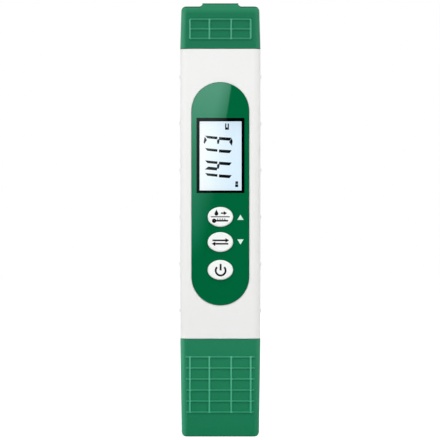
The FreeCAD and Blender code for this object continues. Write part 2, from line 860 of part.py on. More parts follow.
def contact_section(x, extra):
    """The cross-section of an upright contact strip, in front of its stack."""
    half = dim.contact_width / 2 + extra
    front = -dim.slot_depth / 2 + dim.close_gap
    return rectangle(x - half, x + half, front - dim.close_gap, front + dim.contact_thickness + extra)


def battery_contacts():
    """Two strips from the cell fronts down to the board, and the strip that links the stacks behind."""
    for name, x in (("left", -SLOT_X), ("right", SLOT_X)):
        body = new_body(f"{name}_battery_contact")
        half = dim.contact_width / 2
        front = -dim.slot_depth / 2 + dim.close_gap
        back = front + dim.contact_thickness
        pad(body, "XY", CONTACT_FOOT, CELL_Z + half, rectangle(x - half, x + half, front, back))
        leg_top = CONTACT_FOOT + dim.contact_thickness
        pad(body, "XY", CONTACT_FOOT, leg_top, rectangle(x - half, x + half, front, BOARD_FRONT))
        finished(f"{name}_battery_contact", body)

    link = new_body("battery_link")
    reach = SLOT_X + dim.contact_width - dim.seat_gap
    back = dim.slot_depth / 2 - dim.close_gap
    low = CELL_FLOOR + dim.link_rise + dim.seat_gap
    plate = rectangle(-reach, reach, back - dim.contact_thickness, back)
    pad(link, "XY", low, CELL_Z + dim.contact_width / 2, plate)
    finished("battery_link", link)


def battery_cells():
    """Four button cells in two stacks of two."""
    half = dim.cell_thickness
    for side, x in (("left", -SLOT_X), ("right", SLOT_X)):
        for place, start in (("front", -half), ("rear", ZERO)):
            name = f"{side}_{place}_cell"
            body = new_body(name)
            pad(body, "XZ", start, start + dim.cell_thickness, circle(dim.cell_radius, x, CELL_Z))
            finished(name, body)


def seal_ring(name, low):
    """A rubber ring in a neck groove, standing slightly proud of the neck."""
    body = new_body(name)
    gap = dim.seal_side_gap
    high = low + dim.seal_width - gap
    proud = dim.neck_gap - dim.seal_cap_gap
    cut = dim.seal_depth
    pad(
        body, "XY", low + gap, high,
        rounded_rectangle(NECK_WIDTH + 2 * proud, NECK_DEPTH + 2 * proud, NECK_ROUND + proud),
        rounded_rectangle(NECK_WIDTH - 2 * cut, NECK_DEPTH - 2 * cut, NECK_ROUND),
    )
    return finished(name, body)


# The drafted caps with their grip ribs

# Three flat facets stand for a quarter round, each touching it at its middle, 22.5 degrees apart.
# Shares of the radius at which the facets meet the sides and each other, and the first facet's slope.
FACET_START = Size(math.tan(math.pi / 16), "tan(11.25)")
FACET_NEAR = Size(math.cos(math.pi * 3 / 16) / math.cos(math.pi / 16), "(cos(33.75) / cos(11.25))")
FACET_FAR = Size(math.sin(math.pi * 3 / 16) / math.cos(math.pi / 16), "(sin(33.75) / cos(11.25))")
FACET_SLOPE = Size(math.tan(math.pi / 8), "tan(22.5)")

# How much taller than wide an edge that counts as upright is
STEEP = 3

# How far out a rib's bar runs before it is trimmed, in rib heights
BAR_REACH = Size(1.3, "1.3")
BAR_OUT = dim.rib_height * BAR_REACH

# Half the width of a bar at the face and at its outer end
BAR_FOOT = dim.rib_foot / 2
BAR_TIP = BAR_FOOT - (dim.rib_foot - dim.rib_top) * BAR_REACH / 2

LOWER_RIB_COUNT = 6
UPPER_RIB_COUNT = 3


def facets(side, way, width, end, radius):
    """The points of a facetted quarter round, from outside one side of the width up or down to its end."""
    centre_x = width / 2 - radius
    centre_z = end - way * radius
    points = [
        (width / 2 + BEYOND * FACET_SLOPE, centre_z + way * (radius * FACET_START - BEYOND)),
        (centre_x + radius * FACET_NEAR, centre_z + way * (radius * FACET_FAR)),
        (centre_x + radius * FACET_FAR, centre_z + way * (radius * FACET_NEAR)),
        (centre_x + radius * FACET_START, end),
    ]
    return [(side * x, z) for x, z in points]


def leaning_block(name, mouth, end, lean, grow):
    """A sharp-cornered block that narrows from its mouth to its end, grown all round."""
    body = new_body(name)
    downwards = end.value < mouth.value
    low, high = (end, mouth) if downwards else (mouth, end)
    section = centred_rectangle(dim.body_width + 2 * grow, dim.body_depth + 2 * grow)
    block = pad(body, "XY", low, high, section)
    doc.recompute()
    faces = list(enumerate(block.Shape.Faces, start=1))
    draft = body.newObject("PartDesign::Draft", f"{name}_draft")
    draft.Base = (block, [f"Face{i}" for i, face in faces if abs(face.normalAt(0, 0).z) < 0.5])
    draft.NeutralPlane = (block, [f"Face{i}" for i, face in faces if near(face.CenterOfMass.z, mouth)])
    draft.setExpression("Angle", slope_angle(lean).formula)
    draft.Reversed = downwards
    doc.recompute()
    if draft.Shape.Volume >= block.Shape.Volume:
        raise RuntimeError(f"{name} widens towards its end")
    return body


def upright_edge(middle, box):
    """Whether an edge runs nearly straight up."""
    return box.ZLength > STEEP * max(box.XLength, box.YLength)


def level_rib(face_y, z):
    """The section across a level bar that stands out of the front face and of the back one."""
    out = face_y + BAR_OUT
    return outline([
        (-out, z - BAR_TIP), (-face_y, z - BAR_FOOT), (face_y, z - BAR_FOOT), (out, z - BAR_TIP),
        (out, z + BAR_TIP), (face_y, z + BAR_FOOT), (-face_y, z + BAR_FOOT), (-out, z + BAR_TIP),
    ])


def upright_rib(face_y, x):
    """The section of an upright bar that stands out of the front face."""
    out = -face_y - BAR_OUT
    root = dim.cap_wall / 2 - face_y
    return outline([
        (x - BAR_FOOT, root), (x + BAR_FOOT, root), (x + BAR_FOOT, -face_y),
        (x + BAR_TIP, out), (x - BAR_TIP, out), (x - BAR_FOOT, -face_y),
    ])


def rib_grid(name, mouth, way, lean, levels, reach):
    """Crossing bars to be trimmed: level ones through the cap, and four upright ones on each broad face."""
    body = new_body(name)

    def face(z):
        return BACK - lean * way * (z - mouth)

    low = levels[0]
    high = levels[-1]
    pitches = (-dim.rib_outer_pitch, -dim.rib_inner_pitch, dim.rib_inner_pitch, dim.rib_outer_pitch)
    sections = [upright_rib(face(low), pitch / 2) for pitch in pitches]
    uprights = pad(body, "XY", low, high, *sections)
    lean_back = lean * way
    uprights.UseCustomVector = True
    uprights.AlongSketchNormal = True
    uprights.Direction = Vector(0, lean_back.value, 1)
    uprights.setExpression("Direction.y", lean_back.formula)
    mirror(body, [uprights], "XZ_Plane")
    for z in levels:
        pad(body, "YZ", -reach, reach, level_rib(face(z), z))
    return body


def ribbed_cap(name, mouth, end, way, lean, levels, reach, wastes):
    """The leaning outside of a cap, with its end shaped by cuts seen from the front, and its grip ribs."""
    block = leaning_block(f"{name}_form", mouth, end, lean, ZERO)
    soften(block, "Fillet", dim.edge_round, upright_edge)
    pocket(block, "XZ", FRONT - BEYOND, BACK + BEYOND, *wastes)
    inmost = (BACK - dim.foot_inset - dim.crown_inset).value
    last_rib = (levels[0] if way < 0 else levels[-1]).value

    def on_rim(middle, box):
        """Whether an edge bounds a broad face past its last rib, and isn't one up its corner."""
        on_face = abs(middle.y) > inmost and box.YLength < dim.end_bevel.value
        return on_face and way * (middle.z - last_rib) > 0 and box.ZLength < dim.crown_round.value

    soften(block, "Chamfer", dim.end_bevel, on_rim)
    grid = rib_grid(f"{name}_rib_grid", mouth, way, lean, levels, reach)
    trim = leaning_block(f"{name}_rib_trim", mouth, end, lean, dim.rib_height)
    soften(trim, "Chamfer", dim.edge_round, upright_edge)
    ribs = joined("MultiCommon", f"{name}_ribs", [grid, trim])
    return joined("MultiFuse", f"{name}_outside", [block, ribs])


def protective_cap():
    """The cap over the probe, open upwards, on which the pen stands."""
    mouth = BARREL_FOOT - dim.seam_gap
    lean = dim.foot_inset / mouth
    levels = [dim.lower_rib_start + dim.lower_rib_pitch * i for i in range(LOWER_RIB_COUNT)]
    reach = dim.body_width / 2 - dim.rib_end_inset
    width = dim.body_width - 2 * dim.foot_inset
    wastes = []
    for side in (-1, 1):
        points = facets(side, -1, width, ZERO, dim.foot_round)
        wastes.append(outline(points + [(points[-1][0], -BEYOND), (points[0][0], -BEYOND)]))
    outside = ribbed_cap("lower", mouth, ZERO, -1, lean, levels, reach, wastes)
    well = new_body("lower_well")
    pad(well, "XY", dim.cap_floor, mouth + BEYOND, rounded_rectangle(WELL_WIDTH, WELL_DEPTH, WELL_ROUND))
    return finished("protective_cap", joined("Cut", "protective_cap", [outside, well]))


CLIP_ROOT_Y = BACK - dim.clip_root_inset
CLIP_ROOT_Z = SADDLE_TOP - dim.clip_root_radius
HOLLOW_TOP = CROWN - dim.crown_wall


def crown_waste(side):
    """What is cut away beside the saddle: the rounded shoulder, the crown and the saddle's flared side."""
    points = facets(side, 1, dim.body_width - 2 * dim.crown_inset, CROWN, dim.crown_round)
    foot = side * dim.saddle_foot / 2
    top = side * dim.saddle_width / 2
    flare_top = CROWN + dim.saddle_flare
    above = SADDLE_TOP + BEYOND
    start = len(points)
    points += [(foot, CROWN), (top, flare_top), (top, above), (points[0][0], above)]
    centre = (foot + side * dim.saddle_flare_bow, flare_top + dim.saddle_flare_bow)
    return outline(points, {start: (centre, -side)})


def battery_cap():
    """The cap over the cells, open downwards, with the saddle that seats the clip."""
    mouth = BARREL_TOP + dim.seam_gap
    lean = dim.crown_inset / (CROWN - mouth)
    levels = [BARREL_TOP + dim.upper_rib_start + dim.upper_rib_pitch * i for i in range(UPPER_RIB_COUNT)]
    reach = dim.rib_outer_pitch / 2
    wastes = [crown_waste(side) for side in (-1, 1)]
    outside = ribbed_cap("upper", mouth, SADDLE_TOP, 1, lean, levels, reach, wastes)

    hollow = new_body("upper_hollow")
    pad(hollow, "XY", mouth - BEYOND, HOLLOW_TOP, rounded_rectangle(WELL_WIDTH, WELL_DEPTH, WELL_ROUND))
    seat_radius = dim.clip_root_radius + dim.seat_gap
    seat_half = dim.clip_width / 2 + dim.seat_gap * 2
    seat = new_body("clip_seat")
    beyond_z = SADDLE_TOP + BEYOND
    beyond_y = BACK + BEYOND
    points = [
        (CLIP_ROOT_Y - seat_radius, CLIP_ROOT_Z), (CLIP_ROOT_Y, CLIP_ROOT_Z - seat_radius),
        (beyond_y, CLIP_ROOT_Z - seat_radius), (beyond_y, beyond_z), (CLIP_ROOT_Y - seat_radius, beyond_z),
    ]
    pad(seat, "YZ", -seat_half, seat_half, outline(points, {0: ((CLIP_ROOT_Y, CLIP_ROOT_Z), 1)}))
    removed = joined("MultiFuse", "upper_removed", [hollow, seat])
    return finished("battery_cap", joined("Cut", "battery_cap", [outside, removed]))


def pocket_clip():
    """A sprung clip: rolled root in the saddle, arm down the back and a touching nub near its tip."""
    body = new_body("pocket_clip")
    thick = dim.clip_thickness
    inner = BACK + dim.clip_gap
    outer = inner + thick
    bend = dim.clip_bend
    tip = SADDLE_TOP - dim.clip_length
    touch_z = tip + dim.clip_touch_rise
    touch = dim.clip_gap - dim.clip_touch_gap
    under = SADDLE_TOP - thick
    bend_centre = (outer - bend, SADDLE_TOP - bend)
    points = [
        (CLIP_ROOT_Y, under), (outer - bend, under),
        (inner, SADDLE_TOP - bend), (inner, touch_z + touch),
        (inner, touch_z - touch), (inner, tip + thick / 2),
        (outer, tip + thick / 2), (outer, SADDLE_TOP - bend),
        (outer - bend, SADDLE_TOP), (CLIP_ROOT_Y, SADDLE_TOP),
    ]
    arcs = {
        1: (bend_centre, -1),
        3: ((inner, touch_z), 1),
        5: ((inner + thick / 2, tip + thick / 2), 1),
        7: (bend_centre, 1),
    }
    half = dim.clip_width / 2
    pad(body, "YZ", -half, half, outline(points, arcs))
    pad(body, "YZ", -half, half, circle(dim.clip_root_radius, CLIP_ROOT_Y, CLIP_ROOT_Z))
    return finished("pocket_clip", body)


# Probe end

PROBE_NECK_FOOT = BARREL_FOOT - dim.probe_neck_length
GUARD_FOOT = dim.cap_floor + dim.guard_clearance
PROBE_TOP = BARREL_FOOT + dim.probe_plug_length
POTTING_FOOT = PROBE_NECK_FOOT - dim.guard_wall
POTTING_TOP = POTTING_FOOT + dim.potting_thickness
ROD_TIP = GUARD_FOOT + dim.rod_recess
ROD_TOP = PROBE_TOP - dim.rod_drop


def probe_holder():
    """The plug in the barrel's foot, its neck, and the open guard round the probe tips."""
    body = new_body("probe_holder")
    pad(body, "XY", BARREL_FOOT, PROBE_TOP, rounded_rectangle(PLUG_WIDTH, PLUG_DEPTH, PLUG_ROUND))
    pad(body, "XY", PROBE_NECK_FOOT, BARREL_FOOT, rounded_rectangle(NECK_WIDTH, NECK_DEPTH, NECK_ROUND))
    soften(body, "Chamfer", NECK_ROUND / 2, lambda middle, box: near(box.ZMax, PROBE_NECK_FOOT))
    guard = rounded_rectangle(dim.guard_width, dim.guard_depth, dim.guard_round)
    pad(body, "XY", GUARD_FOOT, PROBE_NECK_FOOT, guard)
    ridge_slots(body, 0)
    seal = BARREL_FOOT - dim.lower_seal_drop
    ring_groove(body, seal - dim.seal_width, seal, NECK_WIDTH, NECK_DEPTH, NECK_ROUND, dim.seal_depth)
    wall = dim.guard_wall
    width = dim.guard_width - 2 * wall
    depth = dim.guard_depth - 2 * wall
    hollow = rounded_rectangle(width, depth, dim.guard_round - wall)
    pocket(body, "XY", GUARD_FOOT - BEYOND, POTTING_FOOT, hollow)
    notch = dim.guard_notch_width / 2
    notch_top = GUARD_FOOT + dim.guard_notch_height
    pocket(body, "XZ", FRONT, BACK, rectangle(-notch, notch, GUARD_FOOT - BEYOND, notch_top))
    plug_wall = dim.probe_plug_wall
    upper = centred_rectangle(PLUG_WIDTH - 2 * plug_wall, PLUG_DEPTH - 2 * plug_wall)
    pocket(body, "XY", POTTING_TOP, PROBE_TOP + BEYOND, upper)
    bore = dim.rod_radius + dim.close_gap
    holes = [circle(bore, x, ZERO) for x in (-dim.rod_pitch, ZERO, dim.rod_pitch)]
    pocket(body, "XY", POTTING_FOOT - BEYOND, POTTING_TOP, *holes)
    return finished("probe_holder", body)


def probe_rods():
    """Two carbon electrodes and the steel sheath of the temperature sensor between them."""
    for name, x in (("left_electrode", -dim.rod_pitch), ("right_electrode", dim.rod_pitch)):
        body = new_body(name)
        pad(body, "XY", ROD_TIP, ROD_TOP, circle(dim.rod_radius, x, ZERO))
        finished(name, body)

    sheath = new_body("temperature_probe")
    pad(sheath, "XY", ROD_TIP, ROD_TOP, circle(dim.rod_radius))
    bore = dim.rod_radius - dim.sheath_wall
    pocket(sheath, "XY", ROD_TIP + dim.rod_radius, ROD_TOP, circle(bore))
    finished("temperature_probe", sheath)

    thermistor = new_body("thermistor")
    low = ROD_TIP + dim.rod_radius
    pad(thermistor, "XY", low, low + 2 * dim.rod_radius, centred_rectangle(dim.rod_radius, bore))
    finished("thermistor", thermistor)


def sensor_leads():
    """Three stiff leads from the rods up and forward to the back of the board."""
    body = new_body("sensor_leads")
    radius = dim.lead_radius
    high = BOARD_FOOT + dim.lead_overlap
    low = high - 2 * radius
    flat = outline([
        (-radius, ROD_TOP), (radius, ROD_TOP), (radius, high),
        (BOARD_BACK, high), (BOARD_BACK, low), (-radius, low),
    ])
    for x in (-dim.rod_pitch, ZERO, dim.rod_pitch):
        pad(body, "YZ", x - radius, x + radius, flat)
    return finished("sensor_leads", body)


def build_pen():
    front_shell()
    rear_shell()
    face_panel()
    display_bezel()
    display_window()
    display_stack()
    display_holder()
    zebra_strip()
    backlight_led()
    circuit_board()
    board_screws()
    board_components()
    for name, z in KEY_Z.items():
        key(name, z)
        tact_switch(name, z)
    battery_holder()
    battery_contacts()
    battery_cells()
    seal_ring("battery_cap_seal", BARREL_TOP + dim.upper_seal_rise)
    battery_cap()
    pocket_clip()
    probe_holder()
    seal_ring("probe_seal", BARREL_FOOT - dim.lower_seal_drop - dim.seal_width)
    probe_rods()
    sensor_leads()
    protective_cap()


def check_objects():
    """Stop if anything in the document failed or a piece is not a sound solid."""
    failed = [item.Name for item in doc.Objects if "Invalid" in item.State or "Error" in item.State]
    if failed:
        raise RuntimeError(f"failed objects: {failed}")
    for name, thing in parts.items():
        shape = thing.Shape
        if shape.isNull() or not shape.isValid() or not shape.Solids:
            raise RuntimeError(f"{name} is not a sound solid")


def write_parts():
    os.makedirs("parts", exist_ok=True)
    for name, thing in parts.items():
        thing.Shape.exportStep(f"parts/{name}.step")


build_pen()
doc.recompute()
check_objects()
write_parts()
print(f"{len(parts)} pieces")
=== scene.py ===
import json
import math

import bpy
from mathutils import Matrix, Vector


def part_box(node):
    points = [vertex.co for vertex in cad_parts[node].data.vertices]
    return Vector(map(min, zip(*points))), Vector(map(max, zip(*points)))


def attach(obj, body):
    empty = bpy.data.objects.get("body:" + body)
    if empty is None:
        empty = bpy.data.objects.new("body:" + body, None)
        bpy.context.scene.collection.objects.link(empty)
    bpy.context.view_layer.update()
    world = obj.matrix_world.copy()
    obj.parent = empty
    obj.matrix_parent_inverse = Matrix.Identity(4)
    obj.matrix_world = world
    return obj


# A water quality test pen, standing on its protective cap.
# Metres, +Z up along the pen, display towards -Y.

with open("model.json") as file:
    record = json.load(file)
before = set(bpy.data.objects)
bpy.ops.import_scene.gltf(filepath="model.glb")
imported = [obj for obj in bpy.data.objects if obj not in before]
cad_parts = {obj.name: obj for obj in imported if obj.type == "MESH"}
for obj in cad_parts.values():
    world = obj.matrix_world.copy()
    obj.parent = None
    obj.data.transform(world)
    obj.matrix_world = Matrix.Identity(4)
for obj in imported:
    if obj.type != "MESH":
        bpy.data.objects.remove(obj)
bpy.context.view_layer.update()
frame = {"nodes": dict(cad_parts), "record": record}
nodes = frame["nodes"]

MM = 0.001
PIXEL = 0.38 * MM
CENTRE_X_PIXEL = 220.35
FOOT_Y_PIXEL = 436.8
IMAGE_PIXELS = 440

# The camera looks level at the display, from where a pixel of the picture covers PIXEL on the barrel's front.
LENS = 200
SENSOR = 36
CAMERA_AWAY = IMAGE_PIXELS * PIXEL * LENS / SENSOR


def from_pixels(x, y):
    """The place across and up the pen of a point of the photograph."""
    return (x - CENTRE_X_PIXEL) * PIXEL, (FOOT_Y_PIXEL - y) * PIXEL


# Materials

WHITE = (1, 1, 1, 1)

# Most of a noise lies between these two values.
NOISE_LOW = 0.3
NOISE_HIGH = 0.7

# Mottling runs along the pen, the way the plastic flowed into its mould.
FLOW_STRETCH = (1, 1, 0.35)
GLOSS_SWING = 0.04
DRAWN_SMOOTHER = 0.05
DRAWN_ROUGHER = 0.06
# Samples for the bevelled edges and for the painted shade in corners
EDGE_SAMPLES = 6
CORNER_SHADE_SAMPLES = 8


def linear(red, green, blue):
    """A colour as light from its display values of 0 to 255."""
    def channel(value):
        share = value / 255
        return share / 12.92 if share <= 0.04045 else ((share + 0.055) / 1.055) ** 2.4

    return channel(red), channel(green), channel(blue), 1.0


def shade(colour, factor):
    """A colour made darker or lighter by a factor."""
    return (*[min(1.0, channel * factor) for channel in colour[:3]], 1.0)


def new_material(name):
    """A material with its node tree, its Principled shader and coordinates fixed to the object."""
    material = bpy.data.materials.new(name)
    material.use_nodes = True
    tree = material.node_tree
    shader = tree.nodes["Principled BSDF"]
    place = tree.nodes.new("ShaderNodeTexCoord")
    return material, tree, shader, place.outputs["Object"]


def noise(tree, place, scale, detail=2.0, stretch=(1, 1, 1)):
    """Noise of a given number of grains to the metre, stretched along an axis if asked."""
    mapping = tree.nodes.new("ShaderNodeMapping")
    mapping.inputs["Scale"].default_value = stretch
    tree.links.new(place, mapping.inputs["Vector"])
    texture = tree.nodes.new("ShaderNodeTexNoise")
    texture.inputs["Scale"].default_value = scale
    texture.inputs["Detail"].default_value = detail
    tree.links.new(mapping.outputs["Vector"], texture.inputs["Vector"])
    return texture.outputs["Fac"]


def ramp(tree, factor, stops):
    """A colour ramp over (position, colour) stops."""
    node = tree.nodes.new("ShaderNodeValToRGB")
    elements = node.color_ramp.elements
    while len(elements) < len(stops):
        elements.new(0.5)
    for element, (position, colour) in zip(elements, stops):
        element.position = position
        element.color = colour
    tree.links.new(factor, node.inputs["Fac"])
    return node.outputs["Color"]


def mottled(tree, factor, colour, darkest, lightest):
    """A colour that goes with a noise from one share of itself to another."""
    return ramp(tree, factor, [(NOISE_LOW, shade(colour, darkest)), (NOISE_HIGH, shade(colour, lightest))])


def spread_between(tree, value, start, end, low=0.0, high=1.0):
    """low where the value is at start, high where it is at end, and straight in between."""
    node = tree.nodes.new("ShaderNodeMapRange")
    for socket, number in (("From Min", start), ("From Max", end), ("To Min", low), ("To Max", high)):
        node.inputs[socket].default_value = number
    tree.links.new(value, node.inputs["Value"])
    return node.outputs["Result"]


def spread(tree, factor, low, high):
    """A noise's middle range spread from low to high."""
    return spread_between(tree, factor, NOISE_LOW, NOISE_HIGH, low, high)


def calculate(tree, operation, first, second=0.0):
    """The result of a sum on values that are each a number or another node's output."""
    node = tree.nodes.new("ShaderNodeMath")
    node.operation = operation
    for socket, value in zip(node.inputs, (first, second)):
        if isinstance(value, float):
            socket.default_value = value
        else:
            tree.links.new(value, socket)
    return node.outputs["Value"]


def blend(tree, mode, factor, first, second):
    """Two colours put together, each colour and the factor a value or another node's output."""
    node = tree.nodes.new("ShaderNodeMix")
    node.data_type = "RGBA"
    node.blend_type = mode
    for name, value in (("Factor", factor), ("A", first), ("B", second)):
        if isinstance(value, (float, tuple)):
            node.inputs[name].default_value = value
        else:
            tree.links.new(value, node.inputs[name])
    return node.outputs["Result"]


def separated(tree, vector):
    """The three parts of a vector."""
    node = tree.nodes.new("ShaderNodeSeparateXYZ")
    tree.links.new(vector, node.inputs["Vector"])
    return node.outputs["X"], node.outputs["Y"], node.outputs["Z"]


def bump(tree, height, strength, distance, normal=None):
    """A normal that follows a height, over another normal if one is given."""
    node = tree.nodes.new("ShaderNodeBump")
    node.inputs["Strength"].default_value = strength
    node.inputs["Distance"].default_value = distance
    tree.links.new(height, node.inputs["Height"])
    if normal is not None:
        tree.links.new(normal, node.inputs["Normal"])
    return node.outputs["Normal"]


def rounded_edges(tree, radius):
    """A normal that rounds off the sharp edges of moulded plastic."""
    node = tree.nodes.new("ShaderNodeBevel")
    node.samples = EDGE_SAMPLES
    node.inputs["Radius"].default_value = radius
    return node.outputs["Normal"]


def moulded(
    name, colour, roughness, variation=0.04, grain=2600, grain_depth=0.02 * MM, edge=0.12 * MM,
    specular=0.5, tint=WHITE,
):
    """Moulded plastic: faint flow mottling in colour and gloss, a fine spark-eroded grain and soft edges."""
    material, tree, shader, place = new_material(name)
    flow = noise(tree, place, scale=45, detail=3.0, stretch=FLOW_STRETCH)
    tree.links.new(mottled(tree, flow, colour, 1 - variation, 1 + variation), shader.inputs["Base Color"])
    grains = noise(tree, place, scale=grain, detail=1.0)
    gloss = spread(tree, grains, roughness - GLOSS_SWING, roughness + GLOSS_SWING)
    tree.links.new(gloss, shader.inputs["Roughness"])
    normal = bump(tree, grains, strength=1.0, distance=grain_depth, normal=rounded_edges(tree, edge))
    tree.links.new(normal, shader.inputs["Normal"])
    shader.inputs["Specular IOR Level"].default_value = specular
    shader.inputs["Specular Tint"].default_value = tint
    return material


# The caps are rounded rectangles that lean in from the barrel. Their ribs stand proud of them.
lower_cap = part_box("protective_cap")[1]
upper_cap_foot, upper_cap_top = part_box("battery_cap")
CAP_HALF_WIDTH = lower_cap.x
CAP_HALF_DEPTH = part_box("rear_shell")[1].y
CAP_EDGE_RADIUS = 2.8 * MM
LOWER_CAP_MOUTH = lower_cap.z
UPPER_CAP_MOUTH = upper_cap_foot.z
LOWER_CAP_LEAN = 0.0148
UPPER_CAP_LEAN = 0.0262
CROWN_START = upper_cap_top.z - 4.0 * MM
CROWN_END = upper_cap_top.z - 2.2 * MM
RIB_HEIGHT = 0.35 * MM
UPRIGHT_MIDDLE = 7.85 * MM
UPRIGHT_OFFSET = 3.7 * MM
UPRIGHT_REACH = 0.4 * MM

# Greens and grain of the caps: their own green, painted highlights for the ribs, the side edges and the
# crown, and a painted dark line of shade for the crown's rim; and where up a rib its painted highlight starts
# and is full, in shares of its height
GREEN = linear(34, 126, 88)
RIB_HIGHLIGHT_GREEN = linear(58, 150, 113)
UPRIGHT_HIGHLIGHT_GREEN = linear(90, 184, 148)
EDGE_HIGHLIGHT_GREEN = linear(69, 156, 121)
CROWN_HIGHLIGHT_GREEN = linear(52, 147, 106)
RIM_SHADE_GREEN = linear(26, 84, 60)
CAP_TINT = (0.35, 1.0, 0.72, 1.0)
CAP_GRAIN = {"variation": 0.03, "grain": 2200, "grain_depth": 0.03 * MM, "edge": 0.2 * MM}
LEVEL_RIB_START = 0.3
LEVEL_RIB_FULL = 0.85
UPRIGHT_RIB_START = 0.6

# How far a face turns sideways or upwards before it takes the painted highlight of an edge or the painted
# shade of the crown's rim, and how much fainter the painted edge highlight is on the right
SIDE_START = 0.32
SIDE_FULL = 0.7
RIGHT_HIGHLIGHT_SHARE = 0.25
RIM_START = 0.4
RIM_FULL = 0.65

# Painted shade on the caps: darker in corners by how open they are, and by height up the pen, darker towards
# the foot and a little darker over the upper cap
CORNER_SHADE_REACH = 0.8 * MM
CORNER_SHADE_TONES = [(0.45, (0.6, 0.72, 0.68, 1)), (0.95, WHITE)]
HEIGHT_SHADE_TONES = [(0.0, (0.45, 0.88, 0.8, 1)), (0.24, WHITE), (1.0, (0.8, 0.83, 0.83, 1))]


def proud_of_cap(tree, x, y, z):
    """How far a point stands out from the leaning rounded rectangle of its cap."""
    below = calculate(tree, "SUBTRACT", LOWER_CAP_MOUTH, z)
    above = calculate(tree, "SUBTRACT", z, UPPER_CAP_MOUTH)
    lower_lean = calculate(tree, "MULTIPLY", below, LOWER_CAP_LEAN)
    upper_lean = calculate(tree, "MULTIPLY", above, UPPER_CAP_LEAN)
    lean = calculate(tree, "MAXIMUM", lower_lean, upper_lean)
    squares = []
    for along, half in ((x, CAP_HALF_WIDTH), (y, CAP_HALF_DEPTH)):
        grown = calculate(tree, "ADD", calculate(tree, "ABSOLUTE", along), lean)
        past = calculate(tree, "SUBTRACT", grown, half - CAP_EDGE_RADIUS)
        squares.append(calculate(tree, "POWER", calculate(tree, "MAXIMUM", past), 2.0))
    distance = calculate(tree, "SQRT", calculate(tree, "ADD", *squares))
    return calculate(tree, "SUBTRACT", distance, CAP_EDGE_RADIUS)


def near_upright(tree, x):
    """1 within the width of an upright rib and 0 beside it."""
    past_middle = calculate(tree, "SUBTRACT", calculate(tree, "ABSOLUTE", x), UPRIGHT_MIDDLE)
    from_upright = calculate(tree, "SUBTRACT", calculate(tree, "ABSOLUTE", past_middle), UPRIGHT_OFFSET)
    return calculate(tree, "LESS_THAN", calculate(tree, "ABSOLUTE", from_upright), UPRIGHT_REACH)


def cap_plastic(name, colour, roughness, specular, tint):
    """Satin plastic of the caps, with painted highlights on the ribs, the side edges and the crown, a painted
    dark line of shade on the crown's rim, painted shade in corners, and painted shade darker towards the
    foot.
    """
    material = moulded(name, colour, roughness, **CAP_GRAIN, specular=specular, tint=tint)
    tree = material.node_tree
    shader = tree.nodes["Principled BSDF"]
    body_colour = shader.inputs["Base Color"].links[0].from_socket
    x, y, z = separated(tree, tree.nodes.new("ShaderNodeTexCoord").outputs["Object"])
    sideways, _, upwards = separated(tree, tree.nodes.new("ShaderNodeNewGeometry").outputs["Normal"])

    # Painted highlight on the rounded side edges, fainter on the right edge
    left_edge_highlight = spread_between(tree, sideways, -SIDE_START, -SIDE_FULL)
    right_edge_highlight = spread_between(tree, sideways, SIDE_START, SIDE_FULL)
    fainter_right_highlight = calculate(tree, "MULTIPLY", right_edge_highlight, RIGHT_HIGHLIGHT_SHARE)
    edge_highlighted = blend(tree, "MIX", calculate(tree, "ADD", left_edge_highlight, fainter_right_highlight), body_colour, EDGE_HIGHLIGHT_GREEN)
    # Painted highlight in a band below the crown
    crown = spread_between(tree, z, CROWN_START, CROWN_END)
    crown_highlighted = blend(tree, "MIX", crown, edge_highlighted, CROWN_HIGHLIGHT_GREEN)
    # Painted shade: a dark line along the crown's upward-facing rim
    rim = calculate(tree, "MULTIPLY", spread_between(tree, upwards, RIM_START, RIM_FULL), crown)
    rim_shaded = blend(tree, "MIX", rim, crown_highlighted, RIM_SHADE_GREEN)

    # Painted highlight on the rib tops, paler still on the upright ribs
    proud = proud_of_cap(tree, x, y, z)
    level_rib_highlight = spread_between(tree, proud, LEVEL_RIB_START * RIB_HEIGHT, LEVEL_RIB_FULL * RIB_HEIGHT)
    level_rib_highlighted = blend(tree, "MIX", level_rib_highlight, rim_shaded, RIB_HIGHLIGHT_GREEN)
    full_height = spread_between(tree, proud, UPRIGHT_RIB_START * RIB_HEIGHT, RIB_HEIGHT)
    upright_rib_highlight = calculate(tree, "MULTIPLY", full_height, near_upright(tree, x))
    rib_highlighted = blend(tree, "MIX", upright_rib_highlight, level_rib_highlighted, UPRIGHT_HIGHLIGHT_GREEN)

    # Painted shade in corners and at the feet of the ribs, from ambient occlusion
    corner = tree.nodes.new("ShaderNodeAmbientOcclusion")
    corner.samples = CORNER_SHADE_SAMPLES
    corner.only_local = True
    corner.inputs["Distance"].default_value = CORNER_SHADE_REACH
    shaded = blend(tree, "MULTIPLY", 1.0, rib_highlighted, ramp(tree, corner.outputs["AO"], CORNER_SHADE_TONES))
    # Painted shade by height: darker towards the foot, and a little darker over the upper cap
    rise = spread_between(tree, z, 0.0, UPPER_CAP_MOUTH)
    height_shaded = blend(tree, "MULTIPLY", 1.0, shaded, ramp(tree, rise, HEIGHT_SHADE_TONES))
    tree.links.new(height_shaded, shader.inputs["Base Color"])
    return material


def glossy(name, colour, roughness, edge, specular, tint):
    """Polished plastic without a grain: an even mirror over a faintly mottled colour, with soft edges."""
    material, tree, shader, place = new_material(name)
    flow = noise(tree, place, scale=35, stretch=FLOW_STRETCH)
    tree.links.new(mottled(tree, flow, colour, darkest=0.98, lightest=1.02), shader.inputs["Base Color"])
    tree.links.new(rounded_edges(tree, edge), shader.inputs["Normal"])
    shader.inputs["Roughness"].default_value = roughness
    shader.inputs["Specular IOR Level"].default_value = specular
    shader.inputs["Specular Tint"].default_value = tint
    return material


